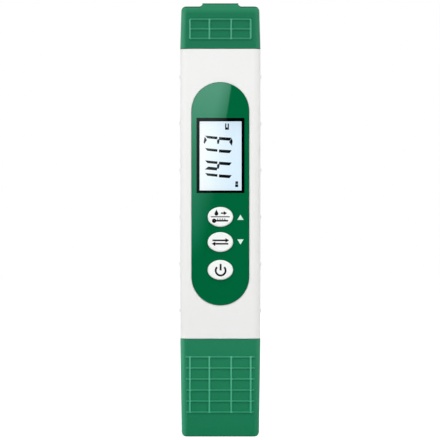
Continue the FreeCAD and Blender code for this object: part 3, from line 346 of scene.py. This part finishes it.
def brushed(name, colour, roughness, stretch):
    """Metal with fine lines drawn along the axis whose stretch is below 1, or an even grain without one."""
    material, tree, shader, place = new_material(name)
    lines = noise(tree, place, scale=900, stretch=stretch)
    tree.links.new(mottled(tree, lines, colour, darkest=0.9, lightest=1.06), shader.inputs["Base Color"])
    gloss = spread(tree, lines, roughness - DRAWN_SMOOTHER, roughness + DRAWN_ROUGHER)
    tree.links.new(gloss, shader.inputs["Roughness"])
    tree.links.new(bump(tree, lines, strength=0.3, distance=0.01 * MM), shader.inputs["Normal"])
    shader.inputs["Metallic"].default_value = 1.0
    return material


def clear_window():
    """Thin clear plastic: what is behind shows straight through, with a reflection that grows at a slant."""
    material, tree, shader, place = new_material("clear_window")
    tree.nodes.remove(shader)
    clear = tree.nodes.new("ShaderNodeBsdfTransparent")
    clear.inputs["Color"].default_value = (0.98, 0.99, 0.99, 1.0)
    gloss = tree.nodes.new("ShaderNodeBsdfGlossy")
    haze = noise(tree, place, scale=60)
    tree.links.new(spread(tree, haze, low=0.02, high=0.05), gloss.inputs["Roughness"])
    slant = tree.nodes.new("ShaderNodeFresnel")
    slant.inputs["IOR"].default_value = 1.3
    mix = tree.nodes.new("ShaderNodeMixShader")
    tree.links.new(slant.outputs["Fac"], mix.inputs["Fac"])
    tree.links.new(clear.outputs["BSDF"], mix.inputs[1])
    tree.links.new(gloss.outputs["BSDF"], mix.inputs[2])
    output = tree.nodes["Material Output"]
    tree.links.new(mix.outputs["Shader"], output.inputs["Surface"])
    return material


# The display's light from left to right and from its foot up, and its colours while unlit
LIT_ACROSS = [(0.0, linear(250, 253, 255)), (0.35, linear(236, 248, 255)), (0.75, linear(222, 241, 254))]
LIT_UPWARDS = [(0.0, (0.97, 0.97, 0.97, 1)), (0.3, WHITE), (0.75, WHITE), (1.0, (0.9, 0.9, 0.92, 1))]
UNLIT = [(NOISE_LOW, (0.1, 0.11, 0.115, 1)), (NOISE_HIGH, (0.11, 0.12, 0.125, 1))]


def display_face(low, high):
    """The lit face of the display: near white at the left, pale blue at the right."""
    material, tree, shader, place = new_material("display_face")
    x, _, z = separated(tree, place)
    across = ramp(tree, spread_between(tree, x, low.x, high.x), LIT_ACROSS)
    upwards = ramp(tree, spread_between(tree, z, low.z, high.z), LIT_UPWARDS)
    tree.links.new(blend(tree, "MULTIPLY", 1.0, across, upwards), shader.inputs["Emission Color"])
    shader.inputs["Emission Strength"].default_value = 1.0
    tree.links.new(ramp(tree, noise(tree, place, scale=60), UNLIT), shader.inputs["Base Color"])
    shader.inputs["Roughness"].default_value = 0.5
    shader.inputs["Specular IOR Level"].default_value = 0.1
    return material


looks = {
    "cap": cap_plastic("cap_green", GREEN, 0.45, specular=0.25, tint=CAP_TINT),
    "clip": moulded("clip_green", GREEN, 0.42, **CAP_GRAIN, specular=0.3, tint=CAP_TINT),
    "barrel": moulded(
        "barrel_white", linear(244, 244, 243), 0.42, variation=0.012, edge=0.25 * MM, specular=0.3,
    ),
    "panel": glossy(
        "panel_green", linear(0, 105, 61), 0.014, edge=0.12 * MM, specular=0.5, tint=(0.45, 1.0, 0.82, 1.0),
    ),
    "frame": glossy(
        "frame_black", linear(1, 3, 4), 0.03, edge=0.03 * MM, specular=0.1, tint=(0.9, 1.0, 0.95, 1.0),
    ),
    "button": moulded(
        "button_white", linear(252, 255, 253), 0.35, variation=0.01, grain=3000, grain_depth=0.01 * MM,
        edge=0.3 * MM, specular=0.3,
    ),
    "white_plastic": moulded(
        "inner_white", linear(226, 228, 226), 0.5, variation=0.03, grain=2400, grain_depth=0.03 * MM,
    ),
    "rubber": moulded(
        "seal_rubber", linear(38, 38, 40), 0.7, variation=0.08, grain=1800, grain_depth=0.05 * MM,
    ),
    "board": moulded("board_green", linear(26, 92, 52), 0.4, variation=0.08, grain=1500),
    "chip": moulded(
        "chip_black", linear(32, 32, 34), 0.55, variation=0.06, grain=3000, grain_depth=0.03 * MM,
    ),
    "capacitor": moulded("capacitor_tan", linear(158, 128, 94), 0.5, variation=0.06),
    "led": moulded("led_yellow", linear(238, 232, 170), 0.25),
    "light_guide": moulded("light_guide_white", linear(232, 240, 243), 0.2, variation=0.02),
    "lcd_glass": moulded("lcd_glass_edge", linear(200, 216, 220), 0.1, variation=0.02),
    "sensor": moulded("sensor_black", linear(22, 22, 22), 0.2, variation=0.05),
    "electrode": moulded(
        "graphite", linear(40, 41, 43), 0.48, variation=0.12, grain_depth=0.05 * MM, edge=0.1 * MM,
    ),
    "screw_steel": brushed("screw_steel", (0.55, 0.55, 0.56, 1), 0.32, (1, 1, 1)),
    "contact": brushed("contact_nickel", (0.68, 0.66, 0.6, 1), 0.28, (0.1, 1, 1)),
    "cell": brushed("cell_steel", (0.6, 0.6, 0.61, 1), 0.3, (1, 0.1, 1)),
    "probe_steel": brushed("probe_steel", (0.62, 0.62, 0.63, 1), 0.2, (1, 1, 0.06)),
    "window": clear_window(),
    "film": display_face(*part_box("display_window")),
    "ink": moulded("ink_dark", linear(8, 11, 15), 0.6, variation=0.05, edge=0.01 * MM, specular=0.1),
    "paint": moulded("paint_white", linear(222, 250, 236), 0.4, variation=0.02),
}

# Smooth shading over the facets of rounded surfaces

# Corners this near each other are one, and faces that turn less than this many degrees shade smoothly.
WELD_REACH = 0.0005 * MM
SHARP_TURN = 26


def smoothing_group():
    """Nodes that weld the imported corners and shade smooth between faces that turn less than a limit."""
    group = bpy.data.node_groups.new("smooth_by_angle", "GeometryNodeTree")
    group.interface.new_socket("Geometry", in_out="INPUT", socket_type="NodeSocketGeometry")
    group.interface.new_socket("Geometry", in_out="OUTPUT", socket_type="NodeSocketGeometry")
    inlet = group.nodes.new("NodeGroupInput")
    outlet = group.nodes.new("NodeGroupOutput")
    weld = group.nodes.new("GeometryNodeMergeByDistance")
    weld.inputs["Distance"].default_value = WELD_REACH
    faces = group.nodes.new("GeometryNodeSetShadeSmooth")
    faces.domain = "FACE"
    edges = group.nodes.new("GeometryNodeSetShadeSmooth")
    edges.domain = "EDGE"
    edges.inputs["Shade Smooth"].default_value = False
    angle = group.nodes.new("GeometryNodeInputMeshEdgeAngle")
    limit = group.nodes.new("FunctionNodeCompare")
    limit.data_type = "FLOAT"
    limit.operation = "GREATER_THAN"
    limit.inputs["B"].default_value = math.radians(SHARP_TURN)
    group.links.new(inlet.outputs[0], weld.inputs["Geometry"])
    group.links.new(weld.outputs["Geometry"], faces.inputs["Geometry"])
    group.links.new(faces.outputs["Geometry"], edges.inputs["Geometry"])
    group.links.new(angle.outputs["Unsigned Angle"], limit.inputs["A"])
    group.links.new(limit.outputs["Result"], edges.inputs["Selection"])
    group.links.new(edges.outputs["Geometry"], outlet.inputs[0])
    return group


smooth = smoothing_group()

for subpart in frame["record"]["subparts"]:
    node = nodes[subpart["node"]]
    look = "clip" if subpart["node"] == "pocket_clip" else subpart["material_slot"]
    node.data.materials.clear()
    node.data.materials.append(looks[look])
    node.modifiers.new("smooth", "NODES").node_group = smooth


# Printed marks and display segments: thin flat pieces standing just off what carries them

# How thick the print is and how far it stands off
PRINT = 0.012 * MM
PRINT_GAP = 0.002 * MM


def mesh_object(name, vertices, faces, material):
    """An object in the scene from its corners and faces."""
    mesh = bpy.data.meshes.new(name)
    mesh.from_pydata(vertices, [], faces)
    mesh.update()
    mesh.validate()
    mesh.materials.append(material)
    made = bpy.data.objects.new(name, mesh)
    bpy.context.scene.collection.objects.link(made)
    return made


def prism(name, outlines, carrier, look, body):
    """A print of flat shapes, each an outline of (across, up) points, in front of its carrier's face."""
    front = carrier - PRINT - PRINT_GAP
    vertices = []
    faces = []
    for outline in outlines:
        start = len(vertices)
        count = len(outline)
        vertices += [(x, front, z) for x, z in outline]
        vertices += [(x, front + PRINT, z) for x, z in outline]
        faces.append([start + i for i in range(count)])
        faces.append([start + count + i for i in reversed(range(count))])
        for i in range(count):
            following = (i + 1) % count
            faces.append([start + i, start + count + i, start + count + following, start + following])
    piece = mesh_object(name, vertices, faces, looks[look])
    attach(piece, body)


def box_outline(left, top, right, bottom):
    """A rectangle given by its edges in pixels."""
    corners = ((left, bottom), (right, bottom), (right, top), (left, top))
    return [from_pixels(*corner) for corner in corners]


def border_film(name, outside, opening, carrier):
    """A thin sheet with a rectangular opening, both given by their edges in pixels."""
    front = carrier - PRINT - PRINT_GAP
    loops = [box_outline(*outside), box_outline(*opening)]
    vertices = [(x, y, z) for y in (front, front + PRINT) for loop in loops for x, z in loop]
    corners = len(loops[0])
    back = corners * len(loops)
    faces = []
    for i in range(corners):
        j = (i + 1) % corners
        faces.append([i, j, corners + j, corners + i])
        faces.append([back + i, back + corners + i, back + corners + j, back + j])
        faces.append([i, back + i, back + j, j])
        faces.append([corners + i, corners + j, back + corners + j, back + corners + i])
    film = mesh_object(name, vertices, faces, looks["frame"])
    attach(film, "housing")


def bar(start, end, width):
    """A straight bar between two points."""
    first = Vector(start)
    last = Vector(end)
    along = (last - first).normalized()
    side = Vector((-along.y, along.x)) * width / 2
    return [tuple(point) for point in (first - side, last - side, last + side, first + side)]


def arc_band(centre, radius, width, start, end, steps):
    """A band along an arc, as one outline, angles in degrees anticlockwise from the right."""
    def point(r, share):
        turn = math.radians(start + (end - start) * share)
        return centre[0] + r * math.cos(turn), centre[1] + r * math.sin(turn)

    outer = [point(radius + width / 2, i / steps) for i in range(steps + 1)]
    inner = [point(radius - width / 2, i / steps) for i in reversed(range(steps + 1))]
    return outer + inner


ARROW_FLARE = 0.62


def arrow_head(tip, turn, size):
    """A solid triangle at tip, pointing along turn in degrees."""
    along = Vector((math.cos(math.radians(turn)), math.sin(math.radians(turn))))
    side = Vector((-along.y, along.x)) * size * ARROW_FLARE
    end = Vector(tip)
    back = end - along * size
    return [tuple(end), tuple(back + side), tuple(back - side)]


DROP_FLANK = 150
DROP_SWEEP = 240


def drop_outline(centre, radius, height, steps):
    """A falling drop: round below and pointed above."""
    x, z = centre
    points = [(x, z + height)]
    for i in range(steps + 1):
        turn = math.radians(DROP_FLANK + DROP_SWEEP * i / steps)
        points.append((x + radius * math.cos(turn), z + radius * math.sin(turn)))
    return points


# The black border film bridges the joint between the panel and the display's frame.
BORDER_OUTSIDE = (196.6, 117.9, 244.5, 193.05)
BORDER_OPENING = (199.65, 121.3, 241.6, 190.4)

panel_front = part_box("face_panel")[0].y
border_film("display_border", BORDER_OUTSIDE, BORDER_OPENING, panel_front)

# The display's digits lie with their tops to the left. Each lit segment is an outline of
# pixels across and pixels below the digit's first bar.
SEGMENTS = {
    "a": [(204.6, -0.9), (207.0, 2.4), (204.6, 6.2), (203.5, 5.2)],
    "b": [(205.0, -2.0), (217.5, -0.8), (217.3, 1.8), (207.4, 0.8)],
    "c": [(219.0, -0.6), (231.8, 0.2), (229.5, 3.2), (218.9, 2.4)],
    "d": [(232.0, 0.9), (232.7, 4.0), (231.9, 8.4), (229.2, 4.6), (230.3, 2.4)],
    "f": [(204.7, 7.1), (208.1, 4.3), (217.5, 5.3), (216.8, 8.2)],
    "g": [(218.3, 1.4), (219.6, 3.0), (218.8, 6.5), (217.2, 6.2), (216.9, 3.0)],
}
LIT = {"1": "bc", "3": "abcdg", "4": "bcfg"}
DIGIT_STARTS = [("3", 137.4), ("1", 149.9), ("4", 162.2), ("1", 174.9)]

# Signs that lie like the digits, each box by its left, top, right and bottom pixels
BATTERY_SIGN = [(225.1, 123.4, 226.4, 127.3), (227.6, 123.4, 228.9, 127.3), (225.1, 127.3, 228.9, 129.6)]
DROP_SIGN = [(235.4, 181.3, 238.1, 183.9), (235.2, 184.3, 238.2, 187.0)]

display_shapes = [
    [from_pixels(x, first_y + y) for x, y in SEGMENTS[letter]]
    for digit, first_y in DIGIT_STARTS
    for letter in LIT[digit]
]
display_shapes += [box_outline(*edges) for edges in BATTERY_SIGN + DROP_SIGN]
prism("display_digits", display_shapes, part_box("display_polariser")[0].y, "ink", "housing")


def key_print(name, shapes):
    """Dark print on the front of a key, from outlines about the key's centre in millimetres."""
    low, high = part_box(f"{name}_button")
    x = (low.x + high.x) / 2
    z = (low.z + high.z) / 2
    placed = [[(x + across * MM, z + up * MM) for across, up in shape] for shape in shapes]
    prism(f"{name}_print", placed, low.y, "ink", f"{name}_button")


# The keys' prints are in millimetres from the middle of each key, with angles in degrees.
# The power key: an open ring, drawn from one end of its gap to the other, with a stem in the gap
RING_CENTRE = (0.1, -0.2)
RING_RADIUS = 1.88
RING_WIDTH = 0.7
RING_START = 137
RING_END = 403
RING_STEPS = 28
STEM_TOP = (0.1, 2.3)
STEM_FOOT = (0.1, -0.15)
STEM_WIDTH = 0.72
power_ring = arc_band(RING_CENTRE, RING_RADIUS, RING_WIDTH, RING_START, RING_END, RING_STEPS)
key_print("power", [power_ring, bar(STEM_TOP, STEM_FOOT, STEM_WIDTH)])

# The mode key: an arrow to the right over an arrow to the left
ARROW_RISE = 0.65
ARROW_TAIL = 3.0
ARROW_NECK = 2.2
ARROW_TIP = 3.3
ARROW_WIDTH = 0.6
ARROW_HEAD = 1.35
key_print("mode", [
    bar((-ARROW_TAIL, ARROW_RISE), (ARROW_NECK, ARROW_RISE), ARROW_WIDTH),
    arrow_head((ARROW_TIP, ARROW_RISE), 0, ARROW_HEAD),
    bar((-ARROW_NECK, -ARROW_RISE), (ARROW_TAIL, -ARROW_RISE), ARROW_WIDTH),
    arrow_head((-ARROW_TIP, -ARROW_RISE), 180, ARROW_HEAD),
])

# The calibrate key: a drop and an arrow over a dividing line, and a thermometer with ticks below it
DIVIDER_REACH = 3.6
DIVIDER_RISE = 0.05
DIVIDER_WIDTH = 0.36
DROP_CENTRE = (-1.5, 1.2)
DROP_RADIUS = 0.72
DROP_HEIGHT = 1.6
DROP_STEPS = 16
POUR_RISE = 1.45
POUR_START = 0.2
POUR_NECK = 1.6
POUR_TIP = 2.5
POUR_WIDTH = 0.5
POUR_HEAD = 1.2
BULB_CENTRE = (-2.35, -1.45)
BULB_RADIUS = 0.42
BULB_WIDTH = 0.8
BULB_SWEEP = 350
BULB_STEPS = 20
TUBE_START = -2.1
TUBE_END = 2.9
TUBE_WIDTH = 0.6
TICKS = (-1.0, -0.1, 0.8, 1.7)
TICK_FOOT = -1.1
TICK_TOP = -0.6
TICK_WIDTH = 0.34
key_print("calibrate", [
    bar((-DIVIDER_REACH, DIVIDER_RISE), (DIVIDER_REACH, DIVIDER_RISE), DIVIDER_WIDTH),
    drop_outline(DROP_CENTRE, DROP_RADIUS, DROP_HEIGHT, DROP_STEPS),
    bar((POUR_START, POUR_RISE), (POUR_NECK, POUR_RISE), POUR_WIDTH),
    arrow_head((POUR_TIP, POUR_RISE), 0, POUR_HEAD),
    arc_band(BULB_CENTRE, BULB_RADIUS, BULB_WIDTH, 0, BULB_SWEEP, BULB_STEPS),
    bar((TUBE_START, BULB_CENTRE[1]), (TUBE_END, BULB_CENTRE[1]), TUBE_WIDTH),
    *[bar((x, TICK_FOOT), (x, TICK_TOP), TICK_WIDTH) for x in TICKS],
])

# White triangles on the panel beside the keys, in pixels
TRIANGLE_X = 240.45
UP_TRIANGLE_Y = 217.3
DOWN_TRIANGLE_Y = 241.9
TRIANGLE_WIDE = 6.4
TRIANGLE_TALL = 5.2


def triangle(centre_x, centre_y, rise):
    """A triangle in pixels that points up the pen for a rise of 1 and down it for -1."""
    half = TRIANGLE_WIDE / 2
    base = centre_y + rise * TRIANGLE_TALL / 2
    tip = centre_y - rise * TRIANGLE_TALL / 2
    points = [(centre_x - rise * half, base), (centre_x + rise * half, base), (centre_x, tip)]
    return [from_pixels(*point) for point in points]


triangles = [triangle(TRIANGLE_X, UP_TRIANGLE_Y, 1), triangle(TRIANGLE_X, DOWN_TRIANGLE_Y, -1)]
prism("panel_triangles", triangles, panel_front, "paint", "housing")


# Stage, light and camera

# How far the floor reaches to the sides and back, and to the front, in metres like all of the stage
REACH = 2.5
FRONT_REACH = 1.25
FLOOR_TONE = 0.5
FLOOR_GLOW = 0.8

# The card stands in front of the pen, and only the glossy panel's mirror image shows it.
CARD_Y = -0.6
CARD_GLOW = 5.0
CARD_LEFT_PIXEL = 150
CARD_TOP_PIXEL = 78
CARD_BOTTOM_PIXEL = 300
EDGE_TOP = 232.4
EDGE_SLOPE = -0.1477
FADE_NEAR_EDGE = 0.042
FADE_START = 0.62
FADE_FALL = 0.0046
CARD_TONES = [
    (0.17, (0, 0, 0, 1)), (0.27, (0.13, 0.34, 0.36, 1)), (0.34, (0.19, 0.37, 0.39, 1)),
    (0.5, (0.24, 0.35, 0.36, 1)), (0.63, (0.38, 0.43, 0.45, 1)), (0.77, (0.59, 0.64, 0.67, 1)),
    (0.85, (0.8, 0.8, 0.82, 1)), (0.95, (1, 0.93, 0.97, 1)),
]

FRONT_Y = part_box("front_shell")[0].y
CENTRE_Z = (FOOT_Y_PIXEL - IMAGE_PIXELS / 2) * PIXEL
CARD_SCALE = 1 + (FRONT_Y - CARD_Y) / CAMERA_AWAY

# Each lamp's place, its width and height, and its power in watts
LAMPS = {
    "left_box": ((-0.85, -0.6, 0.3), (0.5, 0.9), 5.3),
    "right_box": ((0.9, -0.5, 0.25), (0.4, 0.9), 3.9),
    "top_box": ((0, -0.45, 1.0), (0.9, 0.6), 4.6),
    "back_box": ((0.1, 1.1, 0.6), (0.9, 0.7), 4.0),
}

# The sky's light on surfaces, its dim light in mirrors towards the front, and the directions between
# which that turns to full light
SKY_LIGHT = 0.42
SKY_FRONT_LIGHT = 0.015
SKY_FRONT = -0.97
SKY_SIDE = -0.6


def any_ray(tree, *kinds):
    """1 for rays of any of the given kinds and 0 for others."""
    rays = tree.nodes.new("ShaderNodeLightPath")
    found = rays.outputs[kinds[0]]
    for kind in kinds[1:]:
        found = calculate(tree, "MAXIMUM", found, rays.outputs[kind])
    return found


def stage_material(name, tone, glow):
    """A pale matt surface that looks near white, straight or mirrored, and keeps the object's shadow."""
    material, tree, shader, place = new_material(name)
    grey = (tone, tone, tone)
    speckle = noise(tree, place, scale=30)
    tree.links.new(mottled(tree, speckle, grey, darkest=1.0, lightest=1.01), shader.inputs["Base Color"])
    shader.inputs["Roughness"].default_value = 1.0
    shader.inputs["Specular IOR Level"].default_value = 0.0
    seen = any_ray(tree, "Is Camera Ray", "Is Glossy Ray", "Is Transmission Ray")
    emission = tree.nodes.new("ShaderNodeEmission")
    tree.links.new(calculate(tree, "MULTIPLY", seen, glow), emission.inputs["Strength"])
    add = tree.nodes.new("ShaderNodeAddShader")
    tree.links.new(shader.outputs["BSDF"], add.inputs[0])
    tree.links.new(emission.outputs["Emission"], add.inputs[1])
    tree.links.new(add.outputs["Shader"], tree.nodes["Material Output"].inputs["Surface"])
    return material


def flat_sheet(name, points, material):
    """A flat sheet of the stage, given by its corners."""
    sheet = mesh_object(name, points, [list(range(len(points)))], material)
    return sheet


floor_corners = [(-REACH, -FRONT_REACH, 0), (REACH, -FRONT_REACH, 0), (REACH, REACH, 0), (-REACH, REACH, 0)]
flat_sheet("floor", floor_corners, stage_material("floor_white", FLOOR_TONE, FLOOR_GLOW))


def mirrored(x_pixel, y_pixel):
    """Where on the card's plane the camera sees a point of the panel reflected."""
    x, z = from_pixels(x_pixel, y_pixel)
    return x * CARD_SCALE, CARD_Y, CENTRE_Z + (z - CENTRE_Z) * CARD_SCALE


def card_material():
    """A lit card, bright at its top, that fades downwards and towards its slanting edge."""
    material, tree, shader, place = new_material("card_light")
    tree.nodes.remove(shader)
    x, _, z = separated(tree, place)
    left, _, top = mirrored(CARD_LEFT_PIXEL, CARD_TOP_PIXEL)
    right, _, bottom = mirrored(EDGE_TOP, CARD_BOTTOM_PIXEL)
    width = EDGE_TOP - CARD_LEFT_PIXEL
    height = float(CARD_BOTTOM_PIXEL - CARD_TOP_PIXEL)
    across = calculate(tree, "MULTIPLY", spread_between(tree, x, left, right), width)
    share_up = spread_between(tree, z, bottom, top)
    down = calculate(tree, "MULTIPLY", calculate(tree, "SUBTRACT", 1.0, share_up), height)
    edge = calculate(tree, "ADD", calculate(tree, "MULTIPLY", down, EDGE_SLOPE), width)
    inwards = calculate(tree, "MULTIPLY", calculate(tree, "SUBTRACT", edge, across), FADE_NEAR_EDGE)
    least = calculate(tree, "SUBTRACT", FADE_START, calculate(tree, "MULTIPLY", down, FADE_FALL))
    fade = calculate(tree, "MINIMUM", calculate(tree, "ADD", inwards, least), 1.0)
    emission = tree.nodes.new("ShaderNodeEmission")
    tree.links.new(ramp(tree, share_up, CARD_TONES), emission.inputs["Color"])
    tree.links.new(calculate(tree, "MULTIPLY", fade, CARD_GLOW), emission.inputs["Strength"])
    tree.links.new(emission.outputs["Emission"], tree.nodes["Material Output"].inputs["Surface"])
    return material


edge_bottom = EDGE_TOP + EDGE_SLOPE * (CARD_BOTTOM_PIXEL - CARD_TOP_PIXEL)
card_corners = [
    mirrored(CARD_LEFT_PIXEL, CARD_TOP_PIXEL), mirrored(CARD_LEFT_PIXEL, CARD_BOTTOM_PIXEL),
    mirrored(edge_bottom, CARD_BOTTOM_PIXEL), mirrored(EDGE_TOP, CARD_TOP_PIXEL),
]
card = flat_sheet("card", card_corners, card_material())
card.visible_camera = False
card.visible_diffuse = False
card.visible_shadow = False
card.visible_transmission = False


def softbox(name, place, target, size, power):
    """A rectangular area lamp turned towards a target."""
    data = bpy.data.lights.new(name, "AREA")
    data.shape = "RECTANGLE"
    data.size, data.size_y = size
    data.energy = power
    lamp = bpy.data.objects.new(name, data)
    lamp.location = place
    lamp.rotation_euler = (Vector(target) - Vector(place)).to_track_quat("-Z", "Y").to_euler()
    bpy.context.scene.collection.objects.link(lamp)


for lamp_name, (lamp_place, lamp_size, lamp_power) in LAMPS.items():
    softbox(lamp_name, lamp_place, (0, 0, CENTRE_Z), lamp_size, lamp_power)


def sky(level, front_level):
    """Even pale light, white to the camera, and dim towards the front for what mirrors it."""
    world = bpy.data.worlds.new("studio")
    bpy.context.scene.world = world
    world.use_nodes = True
    tree = world.node_tree
    background = tree.nodes["Background"]
    background.inputs["Color"].default_value = WHITE
    _, backwards, _ = separated(tree, tree.nodes.new("ShaderNodeTexCoord").outputs["Generated"])
    in_mirrors = spread_between(tree, backwards, SKY_FRONT, SKY_SIDE, front_level, 1.0)
    mirror_mix = tree.nodes.new("ShaderNodeMix")
    mirror_mix.inputs["A"].default_value = level
    tree.links.new(in_mirrors, mirror_mix.inputs["B"])
    tree.links.new(any_ray(tree, "Is Glossy Ray"), mirror_mix.inputs["Factor"])
    camera_mix = tree.nodes.new("ShaderNodeMix")
    tree.links.new(mirror_mix.outputs["Result"], camera_mix.inputs["A"])
    camera_mix.inputs["B"].default_value = 1.0
    tree.links.new(any_ray(tree, "Is Camera Ray", "Is Transmission Ray"), camera_mix.inputs["Factor"])
    tree.links.new(camera_mix.outputs["Result"], background.inputs["Strength"])


sky(SKY_LIGHT, SKY_FRONT_LIGHT)

camera_data = bpy.data.cameras.new("camera")
camera_data.lens = LENS
camera_data.sensor_width = SENSOR
camera = bpy.data.objects.new("camera", camera_data)
camera.location = ((IMAGE_PIXELS / 2 - CENTRE_X_PIXEL) * PIXEL, FRONT_Y - CAMERA_AWAY, CENTRE_Z)
camera.rotation_euler = (math.radians(90), 0, 0)
bpy.context.scene.collection.objects.link(camera)
bpy.context.scene.camera = camera
bpy.context.scene.view_settings.view_transform = "Standard"
